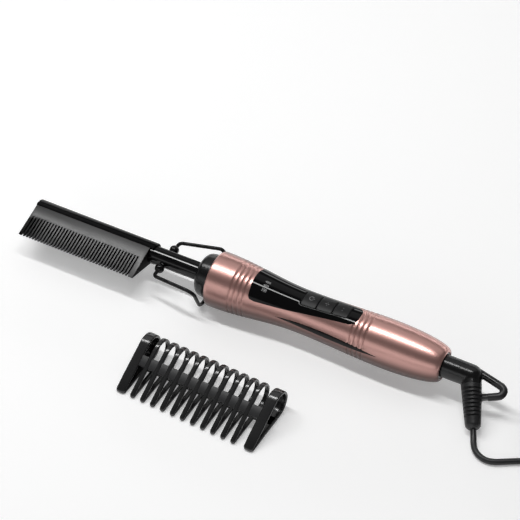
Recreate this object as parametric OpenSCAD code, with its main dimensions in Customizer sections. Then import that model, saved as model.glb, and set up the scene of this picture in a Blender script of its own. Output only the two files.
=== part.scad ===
// Electric hot comb with a heated comb head, a folding wire stand, a swivelling
// cord with a hang loop, and a slip-on comb guard that lies in front of it.
// Millimetres. The comb lies on its back edge: +X runs from the comb's tip to the
// cord, the teeth point to -Y, +Z is up, and z = 0 is the surface it lies on.
// The origin is the middle of the flat under the wire stand's cross wire.

/* [Handle] */
// Length of the handle from its front rim to its tail edge
handle_len = 156.5; // [150:0.5:164]
// Diameter of the handle at the front rim
front_d = 36; // [35:0.2:38]
// Diameter of the handle at its waist
waist_d = 27.2; // [26.8:0.2:29]
// Diameter of the handle at the rear swelling
bulge_d = 30.7; // [30:0.1:33]
// Diameter of the tail edge
tail_d = 19; // [18.8:0.1:20]
// Distance of the waist behind the rim
waist_at = 62; // [58:1:66]
// Distance of the rear swelling behind the rim
bulge_at = 119; // [112:1:124]
// Wall thickness of the two shells
shell_wall = 2; // [1.8:0.1:2.4]
// Wall thickness at the front rim
rim_wall = 2.4; // [2:0.1:3]
// Thickness of the tail's end wall
tail_wall = 3.4; // [3:0.1:4]
// Number of decoration grooves in each group
groove_count = 4; // [2:1:4]
// Spacing of the decoration grooves
groove_pitch = 3.1; // [2.6:0.1:3.1]
// Depth of the decoration grooves
groove_depth = 0.45; // [0.2:0.05:0.6]
// Distance of the first front groove behind the rim
front_groove_at = 17.2; // [14:0.2:17.6]
// Distance of the first rear groove behind the rim
rear_groove_at = 98.4; // [96:0.2:102]

/* [Control panel] */
// Distance of the panel's wide end behind the rim
panel_front = 27.8; // [27.4:0.1:30]
// Distance of the panel's round end behind the rim
panel_end = 100; // [98:0.5:104]
// Half width of the panel at the wide end, in plan
panel_half_front = 13.4; // [12:0.1:13.6]
// Half width of the panel at the round end, in plan
panel_half_end = 7.6; // [7.2:0.1:8.6]
// How far the panel's sides curve inwards
panel_sag = 0.55; // [0:0.05:0.8]
// Thickness of the panel
panel_t = 1.5; // [1.2:0.1:1.6]
// How far the panel stands proud of the shell
panel_proud = 0.15; // [0:0.05:0.3]
// Distance of the first button's front edge behind the rim
buttons_from = 62.2; // [61:0.2:64]
// Length of each of the three buttons along the handle
button_len = 9.6; // [8.6:0.1:9.8]
// Gap between neighbouring buttons
button_gap = 0.9; // [0.7:0.1:1.2]
// Half width of the first button
button_half_front = 6; // [5:0.1:6.4]
// Half width of the last button
button_half_end = 4.6; // [4:0.1:5]
// How far the buttons stand proud of the panel
button_proud = 0.5; // [0.3:0.1:0.9]
// Travel of each button
button_travel = 0.8; // [0.5:0.1:0.9]
// Half height of the lens-shaped side inlays
inlay_half = 1.8; // [1.2:0.1:1.9]
// Length of the side inlays
inlay_len = 69; // [60:1:72]

/* [Comb head] */
// Length of the comb plate along the handle's axis
head_len = 84.2; // [80:0.5:90]
// Radius of the comb's back, to which its two faces are tangent
back_r = 7.2; // [7.1:0.1:7.8]
// Distance of the teeth's tips from the axis
tip_reach = 24.8; // [23:0.2:27]
// Thickness of the teeth at their tips
tip_t = 1; // [0.8:0.1:1.4]
// Distance of the gaps' inner ends from the axis
gap_root = 10.1; // [9.4:0.1:12]
// Spacing of the teeth
tooth_pitch = 2.16; // [2.05:0.01:2.16]
// Width of the gap between two teeth
tooth_gap = 1.06; // [0.8:0.02:1.2]
// Number of gaps
gap_count = 37; // [30:1:37]
// Thickness of the spine cover
cover_t = 0.85; // [0.7:0.05:1]
// How far the spine cover reaches over the barrel
cover_reach = 2.4; // [1.5:0.1:4]

/* [Barrel and collar] */
// Diameter of the barrel over its ridges
barrel_d = 12; // [11.8:0.1:12.2]
// Visible length of the barrel
barrel_len = 35.9; // [34:0.2:38]
// Bore of the barrel
barrel_bore = 8; // [7.6:0.1:8.4]
// How far the collar stands out of the rim
collar_len = 10.4; // [9.4:0.2:11.4]
// Diameter of the collar's front face
collar_nose_d = 15; // [14:0.5:17]
// Diameter of the collar where its dome ends
collar_dome_d = 28; // [27:0.2:28.6]

/* [Wire stand] */
// Diameter of the stand's wire
wire_d = 2.4; // [2.2:0.1:2.5]
// Diameter of the knuckle balls
knuckle_d = 6.2; // [5.8:0.1:6.6]
// Distance of the stand's hinge in front of the rim
hinge_at = 35.4; // [34.6:0.2:36]
// Distance of the cross wire in front of the rim
cross_at = 5.2; // [4.6:0.1:5.6]
// Half width of the stand at its front bends
stand_half_front = 16.6; // [15.5:0.1:18]
// Half width of the stand at its rear bends
stand_half_rear = 21.6; // [20.5:0.1:23]
// Half width of the stand where its legs meet the cross wire
stand_half_foot = 12.2; // [10:0.2:14]
// Height of the rear bends above the handle's axis
rear_rise = 4; // [2:0.1:4.6]
// Depth of the flat under the cross wire
foot_flat = 0.15; // [0.1:0.05:0.25]

/* [Swivel and cord] */
// Diameter of the swivel's neck
neck_d = 14.2; // [13.8:0.1:14.4]
// Distance of the elbow behind the tail edge
elbow_out = 17.1; // [15:0.1:20]
// Angle between the handle's axis and the boot
boot_bend = 64.4; // [63:0.1:65]
// Angle by which the boot leans down from level
boot_roll = 26; // [24:0.5:27]
// Length of the boot from the elbow to its end
boot_len = 33.5; // [33:0.1:34]
// Diameter of the boot at its root
boot_root_d = 13; // [12:0.1:13.4]
// Diameter of the boot at its end
boot_end_d = 9.4; // [8.6:0.1:9.8]
// Number of ribs on the boot
rib_count = 8; // [5:1:9]
// Diameter of the hang loop's rod
loop_rod_d = 3.7; // [3.2:0.1:4]
// Diameter of the cord
cord_d = 3.8; // [3.6:0.1:3.9]
// Number of turns in the coil
coil_turns = 11.95; // [11.95:1:11.95]
// Mean radius of the coil
coil_mean_r = 22.1; // [21.8:0.1:22.6]

/* [Guard] */
// Radius of the guard's round back
guard_r = 9.5; // [9.3:0.1:10]
// Radius at the guard's tips
guard_tip_r = 1.3; // [1.1:0.1:1.5]
// Distance between the guard's back and tip centres
guard_reach = 32.8; // [32:0.2:35]
// Wall thickness of the guard
guard_wall = 1.8; // [1.7:0.05:1.85]
// Number of ribs between the guard's end plates
guard_ribs = 11; // [9:1:11]
// Spacing of the guard's ribs
guard_pitch = 7.04; // [6.8:0.02:7.2]
// Thickness of one rib
guard_rib_t = 3; // [2.4:0.1:3.4]
// Thickness of the closed end plate
guard_closed_t = 6.3; // [5:0.1:7]
// Thickness of the open end ring
guard_open_t = 6.5; // [5:0.1:7.5]

/* [Fits] */
// Radial clearance of a pin or neck that turns in its bore
turn_fit = 0.06; // [0.03:0.01:0.09]
// Clearance of a piece that is seated in another
seat_fit = 0.05; // [0.03:0.01:0.1]
// Gap between a button and its opening, or between two bodies
move_gap = 0.3; // [0.25:0.05:0.35]
// Height of the rim above the surface
floor_gap = 0.1; // [0.05:0.05:0.2]

/* [Hidden] */

front_r = front_d / 2;
waist_r = waist_d / 2;
bulge_r = bulge_d / 2;
tail_r = tail_d / 2;
wire_r = wire_d / 2;
cord_r = cord_d / 2;
axis_z = front_r + floor_gap;
rim_x = cross_at;
eps = 0.01;
far = 200;

rose = [0.78, 0.55, 0.5];
black = [0.05, 0.05, 0.055];
soft_black = [0.09, 0.09, 0.095];
plate_grey = [0.28, 0.28, 0.29];
steel = [0.7, 0.7, 0.72];
brass = [0.8, 0.62, 0.3];

// Handle outline
front_flat = 3;
function ease(t) = (1 - cos(180 * min(1, max(0, t)))) / 2;
function tail_share(x) =
    sqrt(max(0, 1 - pow((x - bulge_at) / (handle_len - bulge_at), 2)));
function handle_r(x) =
    x < waist_at
    ? front_r - (front_r - waist_r) * ease((x - front_flat) / (waist_at - front_flat))
    : x < bulge_at
    ? waist_r + (bulge_r - waist_r) * ease((x - waist_at) / (bulge_at - waist_at))
    : tail_r + (bulge_r - tail_r) * tail_share(x);
tail_steps = 9;
rim_round = 1.6;
stations = concat(
    [for (k = [0 : 16]) front_flat + (waist_at - front_flat) * k / 16],
    [for (k = [1 : 10]) waist_at + (bulge_at - waist_at) * k / 10],
    [for (k = [1 : tail_steps]) bulge_at + (handle_len - bulge_at) * sin(90 * k / tail_steps)]);
outer_line = concat(
    [for (a = [0 : 22.5 : 90]) [front_r - rim_round * (1 - sin(a)), rim_round * (1 - cos(a))]],
    [for (x = stations) [handle_r(x), x]]);
function inner_r(x) = handle_r(x) - shell_wall;
collar_skirt = 8;
collar_skirt_r = front_r - rim_wall - seat_fit;
tail_inside = handle_len - tail_wall;
tail_bore_r = tail_r - 0.9;
function reversed(list) = [for (k = [len(list) - 1 : -1 : 0]) list[k]];
inner_stations = [for (x = stations) if (x > collar_skirt + 2 && x < tail_inside - 1) x];
inner_line = concat([[collar_skirt_r + seat_fit, 0],
    [collar_skirt_r + seat_fit, collar_skirt + seat_fit],
    [inner_r(collar_skirt), collar_skirt + seat_fit]],
    [for (x = inner_stations) [inner_r(x), x]],
    [[inner_r(tail_inside), tail_inside]]);

module at_axis() translate([rim_x, 0, axis_z]) children();
module along_x() rotate([0, 90, 0]) children();
// Turns a list of [radius, x] points round the handle's axis
module turned(points, fn = 96) along_x() rotate_extrude($fn = fn) polygon(points);
// A cylinder along X from x0 to x1
module bar_x(r, x0, x1, fn = 48)
    translate([x0, 0, 0]) along_x() cylinder(r = r, h = x1 - x0, $fn = fn);
module tube_x(r, bore, x0, x1, fn = 48) difference() {
    bar_x(r, x0, x1, fn);
    bar_x(bore, x0 - 1, x1 + 1);
}
// A cylinder along Y from y0 to y1
module bar_y(r, y0, y1, fn = 32)
    translate([0, y0, 0]) rotate([-90, 0, 0]) cylinder(r = r, h = y1 - y0, $fn = fn);
// A closed tube through a list of points: its rings are square to the path, and the
// path never runs along ref
up = [0, 0, 1];
function unit(v) = v / norm(v);
function path_dir(p, k) = unit(p[min(k + 1, len(p) - 1)] - p[max(k - 1, 0)]);
function ring(p, k, r, sides, turn, ref) =
    let (t = path_dir(p, k), n = unit(cross(t, ref)), b = cross(n, t))
    [for (j = [0 : sides - 1]) let (a = turn + 360 * j / sides) p[k] + r * (n * cos(a) + b * sin(a))];
module swept(p, r, sides, turn = 0, ref = up, end_share = 1) {
    last = len(p) - 1;
    points = [for (k = [0 : last])
        each ring(p, k, k == 0 || k == last ? r * end_share : r, sides, turn, ref)];
    side_faces = [for (k = [0 : last - 1]) for (j = [0 : sides - 1])
        let (a = k * sides + j, b = k * sides + (j + 1) % sides)
        each [[a, b, b + sides], [a, b + sides, a + sides]]];
    caps = [for (j = [1 : sides - 2]) each [[0, j + 1, j], last * sides * [1, 1, 1] + [0, j, j + 1]]];
    polyhedron(points = points, faces = concat(side_faces, caps));
}
function arc(c, r, a0, a1, n) =
    [for (k = [0 : n]) [c.x + r * cos(a0 + (a1 - a0) * k / n), c.y + r * sin(a0 + (a1 - a0) * k / n)]];
function mirrored_y(points) = reversed([for (p = points) len(p) > 2 ? [p.x, -p.y, p.z] : [p.x, -p.y]]);

// Points round the corner b of a path a, b, c
function bend(a, b, c, r, n) = let (u = unit(a - b), v = unit(c - b), h = acos(u * v) / 2,
    o = b + unit(u + v) * r / sin(h), p = b + u * r / tan(h) - o, q = b + v * r / tan(h) - o, w = 180 - 2 * h)
    [for (k = [0 : n]) o + (p * sin((1 - k / n) * w) + q * sin(k / n * w)) / sin(w)];

// ---------------------------------------------------------------- handle shells
// A layer that follows the handle's outside from one depth below it to another
module skin(from, to, x0, x1) {
    xs = concat([x0], [for (x = stations) if (x > x0 + 0.2 && x < x1 - 0.2) x], [x1]);
    turned(concat([for (x = xs) [handle_r(x) + to, x]],
        reversed([for (x = xs) [handle_r(x) + from, x]])));
}
module grooves(first) for (k = [0 : groove_count - 1]) {
    x = first + k * groove_pitch;
    r = handle_r(x);
    turned([[r + 0.3, x - 0.55], [r + 0.3, x + 0.55], [r - groove_depth, x + 0.12],
        [r - groove_depth, x - 0.12]]);
}
module handle_ring() difference() {
    turned(concat(outer_line, [[tail_bore_r, handle_len], [tail_bore_r, tail_inside]],
        reversed(inner_line)));
    grooves(front_groove_at);
    grooves(rear_groove_at);
}

// Panel outline in plan, as [x, y]
panel_corner = 2.6;
panel_end_r = 5.6;
panel_bow = 2.6;
panel_side_x = panel_front + panel_bow + panel_corner;
panel_half = [for (k = [0 : 4]) [panel_front + panel_bow * pow(k / 4, 2) * 0.9,
    (panel_half_front - panel_corner) * k / 4]];
panel_side_end = panel_end - panel_end_r;
panel_side = concat(panel_half,
    arc([panel_side_x, panel_half_front - panel_corner], panel_corner, 150, 84, 5),
    [for (k = [1 : 7]) let (u = k / 8) [panel_side_x + (panel_side_end - panel_side_x) * u,
        panel_half_front + (panel_half_end - panel_half_front) * u - 4 * panel_sag * u * (1 - u)]],
    arc([panel_end - panel_end_r, panel_half_end - panel_end_r], panel_end_r, 84, 20, 6),
    [[panel_end, 0]]);
panel_line = concat(panel_side, mirrored_y([for (k = [1 : len(panel_side) - 2]) panel_side[k]]));
module plan(points) linear_extrude(height = far) polygon(points);
module panel_plan(grow = 0) plan([for (p = panel_line)
    [p.x + grow * (p.x > (panel_front + panel_end) / 2 ? 1 : -1), p.y + grow * sign(p.y)]]);

// Button outlines: k is 0, 1 or 2 from the front
button_step = button_len + button_gap;
buttons_to = buttons_from + 3 * button_len + 2 * button_gap;
function button_half(x) = button_half_front
    + (button_half_end - button_half_front) * (x - buttons_from) / (buttons_to - buttons_from);
function button_x(k) = buttons_from + k * button_step;
function button_mid(k) = button_x(k) + button_len / 2;
module button_plan(k, grow, along = undef) {
    x0 = button_x(k) - (is_undef(along) ? grow : along);
    x1 = button_x(k) + button_len + (is_undef(along) ? grow : along);
    y0 = button_half(x0) + grow;
    y1 = button_half(x1) + grow;
    c = 0.9;
    plan([[x0, c - y0], [x0 + c, -y0], [x1 - c, -y1], [x1, c - y1],
        [x1, y1 - c], [x1 - c, y1], [x0 + c, y0], [x0, y0 - c]]);
}
panel_fit = 0.08;
flange_grow = 0.7;
flange_along = (button_gap - move_gap) / 2 - 0.1;
flange_t = 0.5;
module buttons_window() for (k = [0 : 2]) button_plan(k, flange_grow + move_gap);

// Numbers' window, where the indicator lamps shine through from below
led_x = 38.5;
led_rows = [-1.4, -4.2, -7];
led_r = 1;
module led_window() for (y = led_rows) translate([led_x, y, 0]) cylinder(r = led_r + move_gap / 2, h = far, $fn = 24);

// Side inlays, drawn as a lens in the side view
inlay_mid = bulge_at - 35.5;
inlay_z = 2.35;
inlay_t = 0.9;
inlay_arc_r = (pow(inlay_len / 2, 2) + pow(inlay_half, 2)) / (2 * inlay_half);
module inlay_plan(side, grow = 0) {
    a = asin(inlay_len / 2 / inlay_arc_r);
    low = arc([inlay_mid, inlay_z + inlay_half - inlay_arc_r], inlay_arc_r + grow, 90 + a, 90 - a, 16);
    high = arc([inlay_mid, inlay_z - inlay_half + inlay_arc_r], inlay_arc_r + grow, 270 + a, 270 - a, 16);
    translate([0, side * far / 2, 0]) rotate([90, 0, 0])
        linear_extrude(height = far, center = true)
            polygon(concat(low, [for (k = [1 : 15]) high[k]]));
}
module inlay(side) color(black) at_axis() intersection() {
    skin(-inlay_t, 0.08, inlay_mid - inlay_len / 2 - 1, inlay_mid + inlay_len / 2 + 1);
    inlay_plan(side);
}
module inlay_near() inlay(-1);
module inlay_far() inlay(1);

// Screws join the shells from below
screw_r = 1.4;
screw_head_r = 2.6;
screw_len = 12;
post_r = 3;
screw_spots = [[18.5, 10.2], [18.5, -10.2], [112, 7.6], [112, -7.6]];
screw_seat = 4.5;
module cavity() turned(concat([[0, collar_skirt + 1.5]],
    [[inner_r(collar_skirt + 1.5) + 0.6, collar_skirt + 1.5]],
    [for (x = inner_stations) [inner_r(x) + 0.6, x]],
    [[inner_r(tail_inside - 1), tail_inside - 1], [0, tail_inside - 1]]));
module posts(up) intersection() {
    cavity();
    for (s = screw_spots) translate([s.x, s.y, up ? seat_fit : -far])
        cylinder(r = post_r, h = up ? far : far - seat_fit, $fn = 32);
}
module half_space(up) translate([-far, -far, up ? 0 : -2 * far]) cube([3 * far, 2 * far, 2 * far]);
module upper_shell() color(rose) at_axis() difference() {
    union() {
        intersection() {
            handle_ring();
            half_space(true);
        }
        posts(true);
    }
    for (s = screw_spots) translate([s.x, s.y, -1])
        cylinder(r = screw_r + seat_fit, h = screw_len - screw_seat + 2, $fn = 32);
    intersection() {
        skin(-panel_t - panel_fit, 3, panel_front - 2, panel_end + 2);
        panel_plan(panel_fit);
    }
    buttons_window();
    led_window();
    for (side = [-1, 1]) intersection() {
        skin(-inlay_t - seat_fit, 3, inlay_mid - inlay_len / 2 - 1, inlay_mid + inlay_len / 2 + 1);
        inlay_plan(side, seat_fit);
    }
}
module lower_shell() color(rose) at_axis() difference() {
    union() {
        intersection() {
            handle_ring();
            half_space(false);
        }
        posts(false);
    }
    for (s = screw_spots) translate([s.x, s.y, 0]) {
        translate([0, 0, -far]) cylinder(r = screw_r + 0.2, h = far + 1, $fn = 32);
        translate([0, 0, -far]) cylinder(r = screw_head_r + 0.2, h = far - screw_seat, $fn = 32);
    }
}
module shell_screws() color(steel) at_axis() for (s = screw_spots) translate([s.x, s.y, 0]) {
    translate([0, 0, -screw_seat - eps]) cylinder(r = screw_r, h = screw_len - 0.5, $fn = 32);
    difference() {
        translate([0, 0, -screw_seat - 2 - seat_fit]) cylinder(r = screw_head_r, h = 2, $fn = 32);
        translate([0, 0, -screw_seat - 2.2]) for (a = [0, 90]) rotate(a)
            cube([3, 0.7, 1.6], center = true);
    }
}

// ---------------------------------------------------------------- controls
module control_panel() color(black) at_axis() difference() {
    intersection() {
        skin(-panel_t, panel_proud, panel_front - 2, panel_end + 2);
        panel_plan();
        half_space(true);
    }
    for (k = [0 : 2]) button_plan(k, move_gap);
}
board_z = 5.2;
board_t = 1.6;
board_half = 9.1;
board_from = 29;
board_to = 105;
switch_side = 6;
switch_h = 2.8;
plunger_h = 0.8;
plunger_top = board_z + board_t + switch_h + plunger_h;
module push_button(k) color(soft_black) at_axis() {
    x0 = button_x(k) - 2;
    x1 = x0 + button_len + 4;
    stem = plunger_top + button_travel + seat_fit;
    intersection() {
        skin(-panel_t - flange_t, panel_proud + button_proud, x0, x1);
        button_plan(k, 0);
        half_space(true);
    }
    intersection() {
        skin(-panel_t - flange_t - seat_fit, -panel_t - seat_fit * 2, x0, x1);
        button_plan(k, flange_grow, flange_along);
        half_space(true);
    }
    translate([button_mid(k), 0, stem])
        cylinder(r = 2.2, h = handle_r(button_mid(k)) - panel_t - stem, $fn = 32);
}
module power_button() push_button(0);
module up_button() push_button(1);
module down_button() push_button(2);
module circuit_board() color([0.1, 0.35, 0.2]) at_axis()
    translate([board_from, -board_half, board_z]) cube([board_to - board_from, 2 * board_half, board_t]);
module tact_switches() color(soft_black) at_axis() for (k = [0 : 2])
    translate([button_mid(k), 0, board_z + board_t]) {
        translate([-switch_side / 2, -switch_side / 2, 0]) cube([switch_side, switch_side, switch_h]);
        cylinder(r = 1.7, h = switch_h + plunger_h, $fn = 32);
    }
module indicator_leds() color([0.9, 0.85, 0.8]) at_axis() for (y = led_rows) {
    top = sqrt(pow(handle_r(led_x) - panel_t - 0.25, 2) - pow(abs(y) + led_r, 2));
    translate([led_x, y, board_z + board_t]) cylinder(r = led_r, h = top - board_z - board_t, $fn = 24);
}
module board_parts() color([0.75, 0.6, 0.2]) at_axis() {
    side = board_half * 0.66;
    deep = board_half - 0.1;
    translate([board_from + 7, -side, board_z - deep]) cube([14, side + 1, deep]);
    translate([board_from + 27, -side * 0.8, board_z - deep * 0.78]) cube([9, side * 1.6, deep * 0.78]);
    translate([board_from + 45, 0, board_z]) mirror([0, 0, 1]) cylinder(r = side * 0.66, h = deep + 1, $fn = 32);
    translate([board_from + 55, -side * 0.66, board_z - 3]) cube([12, side * 1.32, 3]);
}

// ---------------------------------------------------------------- collar and barrel
collar_steps = 8;
dome_r = collar_dome_d / 2;
nose_r = collar_nose_d / 2;
dome_len = collar_len * 0.45;
lip_r = collar_skirt_r - 0.9;
barrel_r = barrel_d / 2;
collar_hole_r = barrel_r + 0.2;
bush_r = collar_skirt_r - 2;
bush_from = -1.5;
module front_collar() color(black) at_axis() turned(concat(
    [[collar_hole_r, -collar_len]],
    [for (k = [0 : collar_steps]) [nose_r + (dome_r - nose_r) * sin(90 * k / collar_steps),
        -collar_len + dome_len * (1 - cos(90 * k / collar_steps))]],
    [[lip_r, -0.3], [collar_skirt_r, 0.2], [collar_skirt_r, collar_skirt], [bush_r + seat_fit, collar_skirt],
    [bush_r + seat_fit, bush_from - seat_fit], [collar_hole_r, bush_from - seat_fit]]));
bush_to = 9;
barrel_seat_r = barrel_r - 0.4;
module barrel_bush() color([0.85, 0.83, 0.78]) at_axis()
    tube_x(bush_r, barrel_seat_r + seat_fit, bush_from, bush_to);
head_end = -collar_len - barrel_len;
spigot_len = 11.7;
spigot_r = 5;
barrel_tail = bush_to + 3;
hinge_x = -hinge_at;
stub_r = 1.2;
module barrel() color(black) at_axis() difference() {
    union() {
        rotate([15, 0, 0]) bar_x(barrel_r, head_end, bush_from - seat_fit, 12);
        bar_x(barrel_seat_r, bush_from - 1, barrel_tail);
        bar_x(spigot_r, head_end - spigot_len, head_end + eps);
    }
    bar_x(barrel_bore / 2, head_end - spigot_len - 1, barrel_tail + 1);
    translate([hinge_x, 0, 0]) bar_y(stub_r + seat_fit, -far, far);
}

// ---------------------------------------------------------------- comb head
head_x0 = head_end - head_len;
face_angle = asin((back_r - tip_t / 2) / tip_reach);
seat_r = back_r - 0.6;
flat_edge = -back_r * sin(face_angle);
face_top = back_r * cos(face_angle);
// The head's section, as [y, z], turned so that it extrudes along X
module section(x0, x1) translate([x0, 0, 0]) rotate([90, 0, 90])
    linear_extrude(height = x1 - x0) children();
module head_section() {
    polygon([[flat_edge, face_top], [-tip_reach + 0.3, tip_t / 2], [-tip_reach, 0],
        [-tip_reach + 0.3, -tip_t / 2], [flat_edge, -face_top]]);
    circle(r = seat_r, $fn = 64);
}
heater_r = 3.7;
heater_len = 62;
sleeve_t = 0.3;
heater_bore_r = heater_r + sleeve_t + 2 * seat_fit;
heater_x1 = head_end - spigot_len - 4;
first_gap = (head_len - (gap_count - 1) * tooth_pitch) / 2 - 0.6;
module comb_head() color(plate_grey) at_axis() difference() {
    section(head_x0, head_end) head_section();
    bar_x(spigot_r + seat_fit, head_end - spigot_len - seat_fit, head_end + 1);
    bar_x(heater_bore_r, heater_x1 - heater_len - seat_fit, head_end);
    for (k = [0 : gap_count - 1])
        translate([head_x0 + first_gap + k * tooth_pitch - tooth_gap / 2, -tip_reach - 1, -back_r])
            cube([tooth_gap, tip_reach + 1 - gap_root, 2 * back_r]);
}
cover_in = seat_r + seat_fit;
cover_out = cover_in + cover_t;
spine_line_w = 0.9;
spine_line_depth = 0.4;
module spine_cover() color(black) at_axis() difference() {
    section(head_x0 - 0.4, head_end + cover_reach) intersection() {
        difference() {
            circle(r = cover_out, $fn = 96);
            circle(r = cover_in, $fn = 96);
        }
        translate([flat_edge + seat_fit, -far / 2]) square(far);
    }
    for (a = [82, 55, -55, -82]) rotate([a, 0, 0])
        translate([head_x0 - 2, cover_out - spine_line_depth, -spine_line_w / 2])
            cube([head_len + cover_reach + 10, 2, spine_line_w]);
}
module heater_core() color([0.9, 0.88, 0.84]) at_axis() bar_x(heater_r, heater_x1 - heater_len, heater_x1);
module heater_sleeve() color([0.75, 0.68, 0.5]) at_axis()
    tube_x(heater_r + sleeve_t + seat_fit, heater_r + seat_fit, heater_x1 - heater_len, heater_x1 + 2);
sensor_x = heater_x1 + 0.2;
module temperature_sensor() color([0.85, 0.4, 0.15]) at_axis() {
    translate([0, 0, 2.2]) bar_x(1.1, sensor_x, sensor_x + 3.5, 24);
    translate([0, 0, 2.2]) bar_x(0.4, sensor_x + 3.4, sensor_x + 20, 16);
}
lead_r = 0.6;
lead_z = board_z - lead_r - 0.1;
module heater_leads() color([0.8, 0.1, 0.1]) at_axis() for (y = [-1.6, 1.6])
    swept([[heater_x1 + seat_fit, y, -1.2], [barrel_tail + 4, y, -1.2], [barrel_tail + 7, y, -0.8],
        [board_from + 1.5, y, lead_z - 0.6], [board_from + 4, y, lead_z], [board_from + 6.5, y, lead_z]],
        lead_r, 8);
fuse_x = -24;
module thermal_fuse() color([0.75, 0.75, 0.7]) at_axis() translate([0, 0, 1.9]) {
    bar_x(1.5, fuse_x, fuse_x + 9, 24);
    bar_x(0.4, fuse_x - 8, barrel_tail + 2, 16);
}

// ---------------------------------------------------------------- wire stand
knuckle_r = knuckle_d / 2;
knuckle_y = barrel_r + 0.2 + knuckle_r;
pin_in = barrel_r + 1.6;
module stand_knuckles() color(black) at_axis() for (s = [-1, 1]) translate([hinge_x, 0, 0]) mirror([0, s < 0 ? 1 : 0, 0])
    difference() {
        union() {
            translate([0, knuckle_y, 0]) sphere(r = knuckle_r, $fn = 48);
            bar_y(stub_r, barrel_bore / 2, barrel_r + 1.2);
        }
        bar_y(wire_r + turn_fit, pin_in, knuckle_y + knuckle_r + 1);
    }
// Half of the wire, from inside the pin to the middle of the cross wire
front_bend = 2.6;
rear_bend = 4;
foot_bend = 7;
leg_lean = 1;
cross_z = -axis_z + wire_r - foot_flat;
bail_pin_end = stand_half_front - front_bend - 0.4;
arm_a = [hinge_x + front_bend, stand_half_front, 0];
arm_b = [leg_lean - cross_at, stand_half_rear, rear_rise];
leg_b = [-cross_at, stand_half_foot, cross_z];
half_wire = concat(
    [[hinge_x, bail_pin_end - 1, 0], [hinge_x, bail_pin_end + 0.4, 0]],
    [for (a = [15 : 25 : 90]) [hinge_x + front_bend * (1 - cos(a)), stand_half_front - front_bend * (1 - sin(a)), 0]],
    [arm_a + (arm_b - arm_a) * 0.08],
    bend(arm_a, arm_b, leg_b, rear_bend, 5), bend(arm_b, leg_b, [-cross_at, 0, cross_z], foot_bend, 6));
wire = concat(half_wire, mirrored_y(half_wire));
module stand_bail() color(black) at_axis() difference() {
    union() {
        for (s = [-1, 1]) translate([hinge_x, 0, 0]) mirror([0, s < 0 ? 1 : 0, 0])
            bar_y(wire_r, pin_in + move_gap, bail_pin_end);
        swept(wire, wire_r, 12, ref = [1, 0, 1], end_share = 0.8);
    }
    translate([-far, -far, -axis_z - far]) cube([2 * far, 2 * far, far]);
}

// ---------------------------------------------------------------- swivel
neck_r = neck_d / 2;
ring_bore_r = neck_r + turn_fit;
ring_flange_x = tail_inside - 1.8;
module tail_ring() color([0.12, 0.08, 0.08]) at_axis() difference() {
    union() {
        bar_x(tail_bore_r - seat_fit, tail_inside - 0.5, handle_len - 0.4, 64);
        bar_x(tail_bore_r + 1, ring_flange_x, tail_inside - seat_fit, 64);
    }
    bar_x(ring_bore_r, ring_flange_x - 1, handle_len + 1, 64);
}
neck_x0 = ring_flange_x - 3;
neck_flange_r = tail_bore_r + 0.2;
elbow_x = handle_len + elbow_out;
spindle_x0 = neck_x0 - 17;
spindle_r = 5;
boot_root_r = boot_root_d / 2;
boot_end_r = boot_end_d / 2;
rib_from = 8;
rib_to = boot_len - 6.5;
rib_pitch = (rib_to - rib_from) / rib_count;
rib_proud = 0.35;
rib_cut = 0.75;
function boot_r(a) = boot_root_r + (boot_end_r - boot_root_r) * a / (boot_len - 2);
boot_line = concat([[0, 0], [boot_root_r, 0], [boot_r(rib_from - 1), rib_from - 1]],
    [for (k = [0 : rib_count - 1]) for (p = [[-rib_cut, 0.1], [-rib_cut, 0.35], [rib_proud, 0.6], [rib_proud, 0.85]])
        [boot_r(rib_from + k * rib_pitch) + p.x, rib_from + (k + p.y) * rib_pitch]],
    [[boot_r(rib_to + 1), rib_to + 1], [boot_end_r, boot_len - 2], [boot_end_r * 0.62, boot_len], [0, boot_len]]);
socket_depth = 3;
socket_fit = 0.2;
// Places its children with +Z along the boot and +X across it, away from the handle
module on_boot() translate([elbow_x, 0, 0]) rotate([boot_roll, 0, 0]) rotate([0, 0, -boot_bend])
    rotate([90, 0, 90]) children();
loop_r = loop_rod_d / 2;
loop_line = [[2, -4], [16.4, 7], [18.2, 8.6], [19.1, 10.4], [18.7, 12.3], [17.3, 13.6], [15.4, 14.1], [3, 14.1]];
module swivel_boot() color(black) at_axis() difference() {
    union() {
        turned(concat([[0, neck_x0], [neck_flange_r, neck_x0], [neck_flange_r, ring_flange_x - move_gap],
            [neck_r, ring_flange_x - move_gap]],
            [for (a = [0 : 15 : 90]) [neck_r * cos(a), elbow_x + neck_r * sin(a)]]), 64);
        on_boot() {
            rotate_extrude($fn = 64) polygon(boot_line);
            swept([for (p = loop_line) [p.x, 0, p.y]], loop_r, 12, ref = [0, 1, 0]);
        }
    }
    on_boot() translate([0, 0, boot_len - socket_depth])
        cylinder(r = cord_r + socket_fit, h = socket_depth + 1, $fn = 32);
}
module swivel_spindle() color([0.9, 0.9, 0.88]) at_axis() bar_x(spindle_r, spindle_x0, neck_x0 - seat_fit);
ring_w = 2.4;
slip_xs = [spindle_x0 + 3, spindle_x0 + 9];
slip_out = spindle_r + 0.7;
module slip_rings() color(brass) at_axis() for (x = slip_xs)
    tube_x(slip_out, spindle_r + seat_fit, x, x + ring_w);
block_z = -slip_out - 2.2;
module brush_block() color([0.15, 0.15, 0.16]) at_axis() {
    x1 = slip_xs[1] + ring_w + 1;
    low = min(inner_r(spindle_x0), inner_r(x1));
    depth = sqrt(low * low - 16) + block_z - move_gap;
    translate([spindle_x0, -4, block_z - depth]) cube([x1 - spindle_x0, 8, depth]);
}
module slip_brushes() color(brass) at_axis() for (x = slip_xs) {
    translate([x, -3.4, block_z + seat_fit]) cube([ring_w, 1.6, -slip_out - block_z - seat_fit * 2]);
    translate([x, -3.4, -slip_out - 0.55]) cube([ring_w, 6.8, 0.45]);
}
supply_z = block_z - 1.6;
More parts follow.
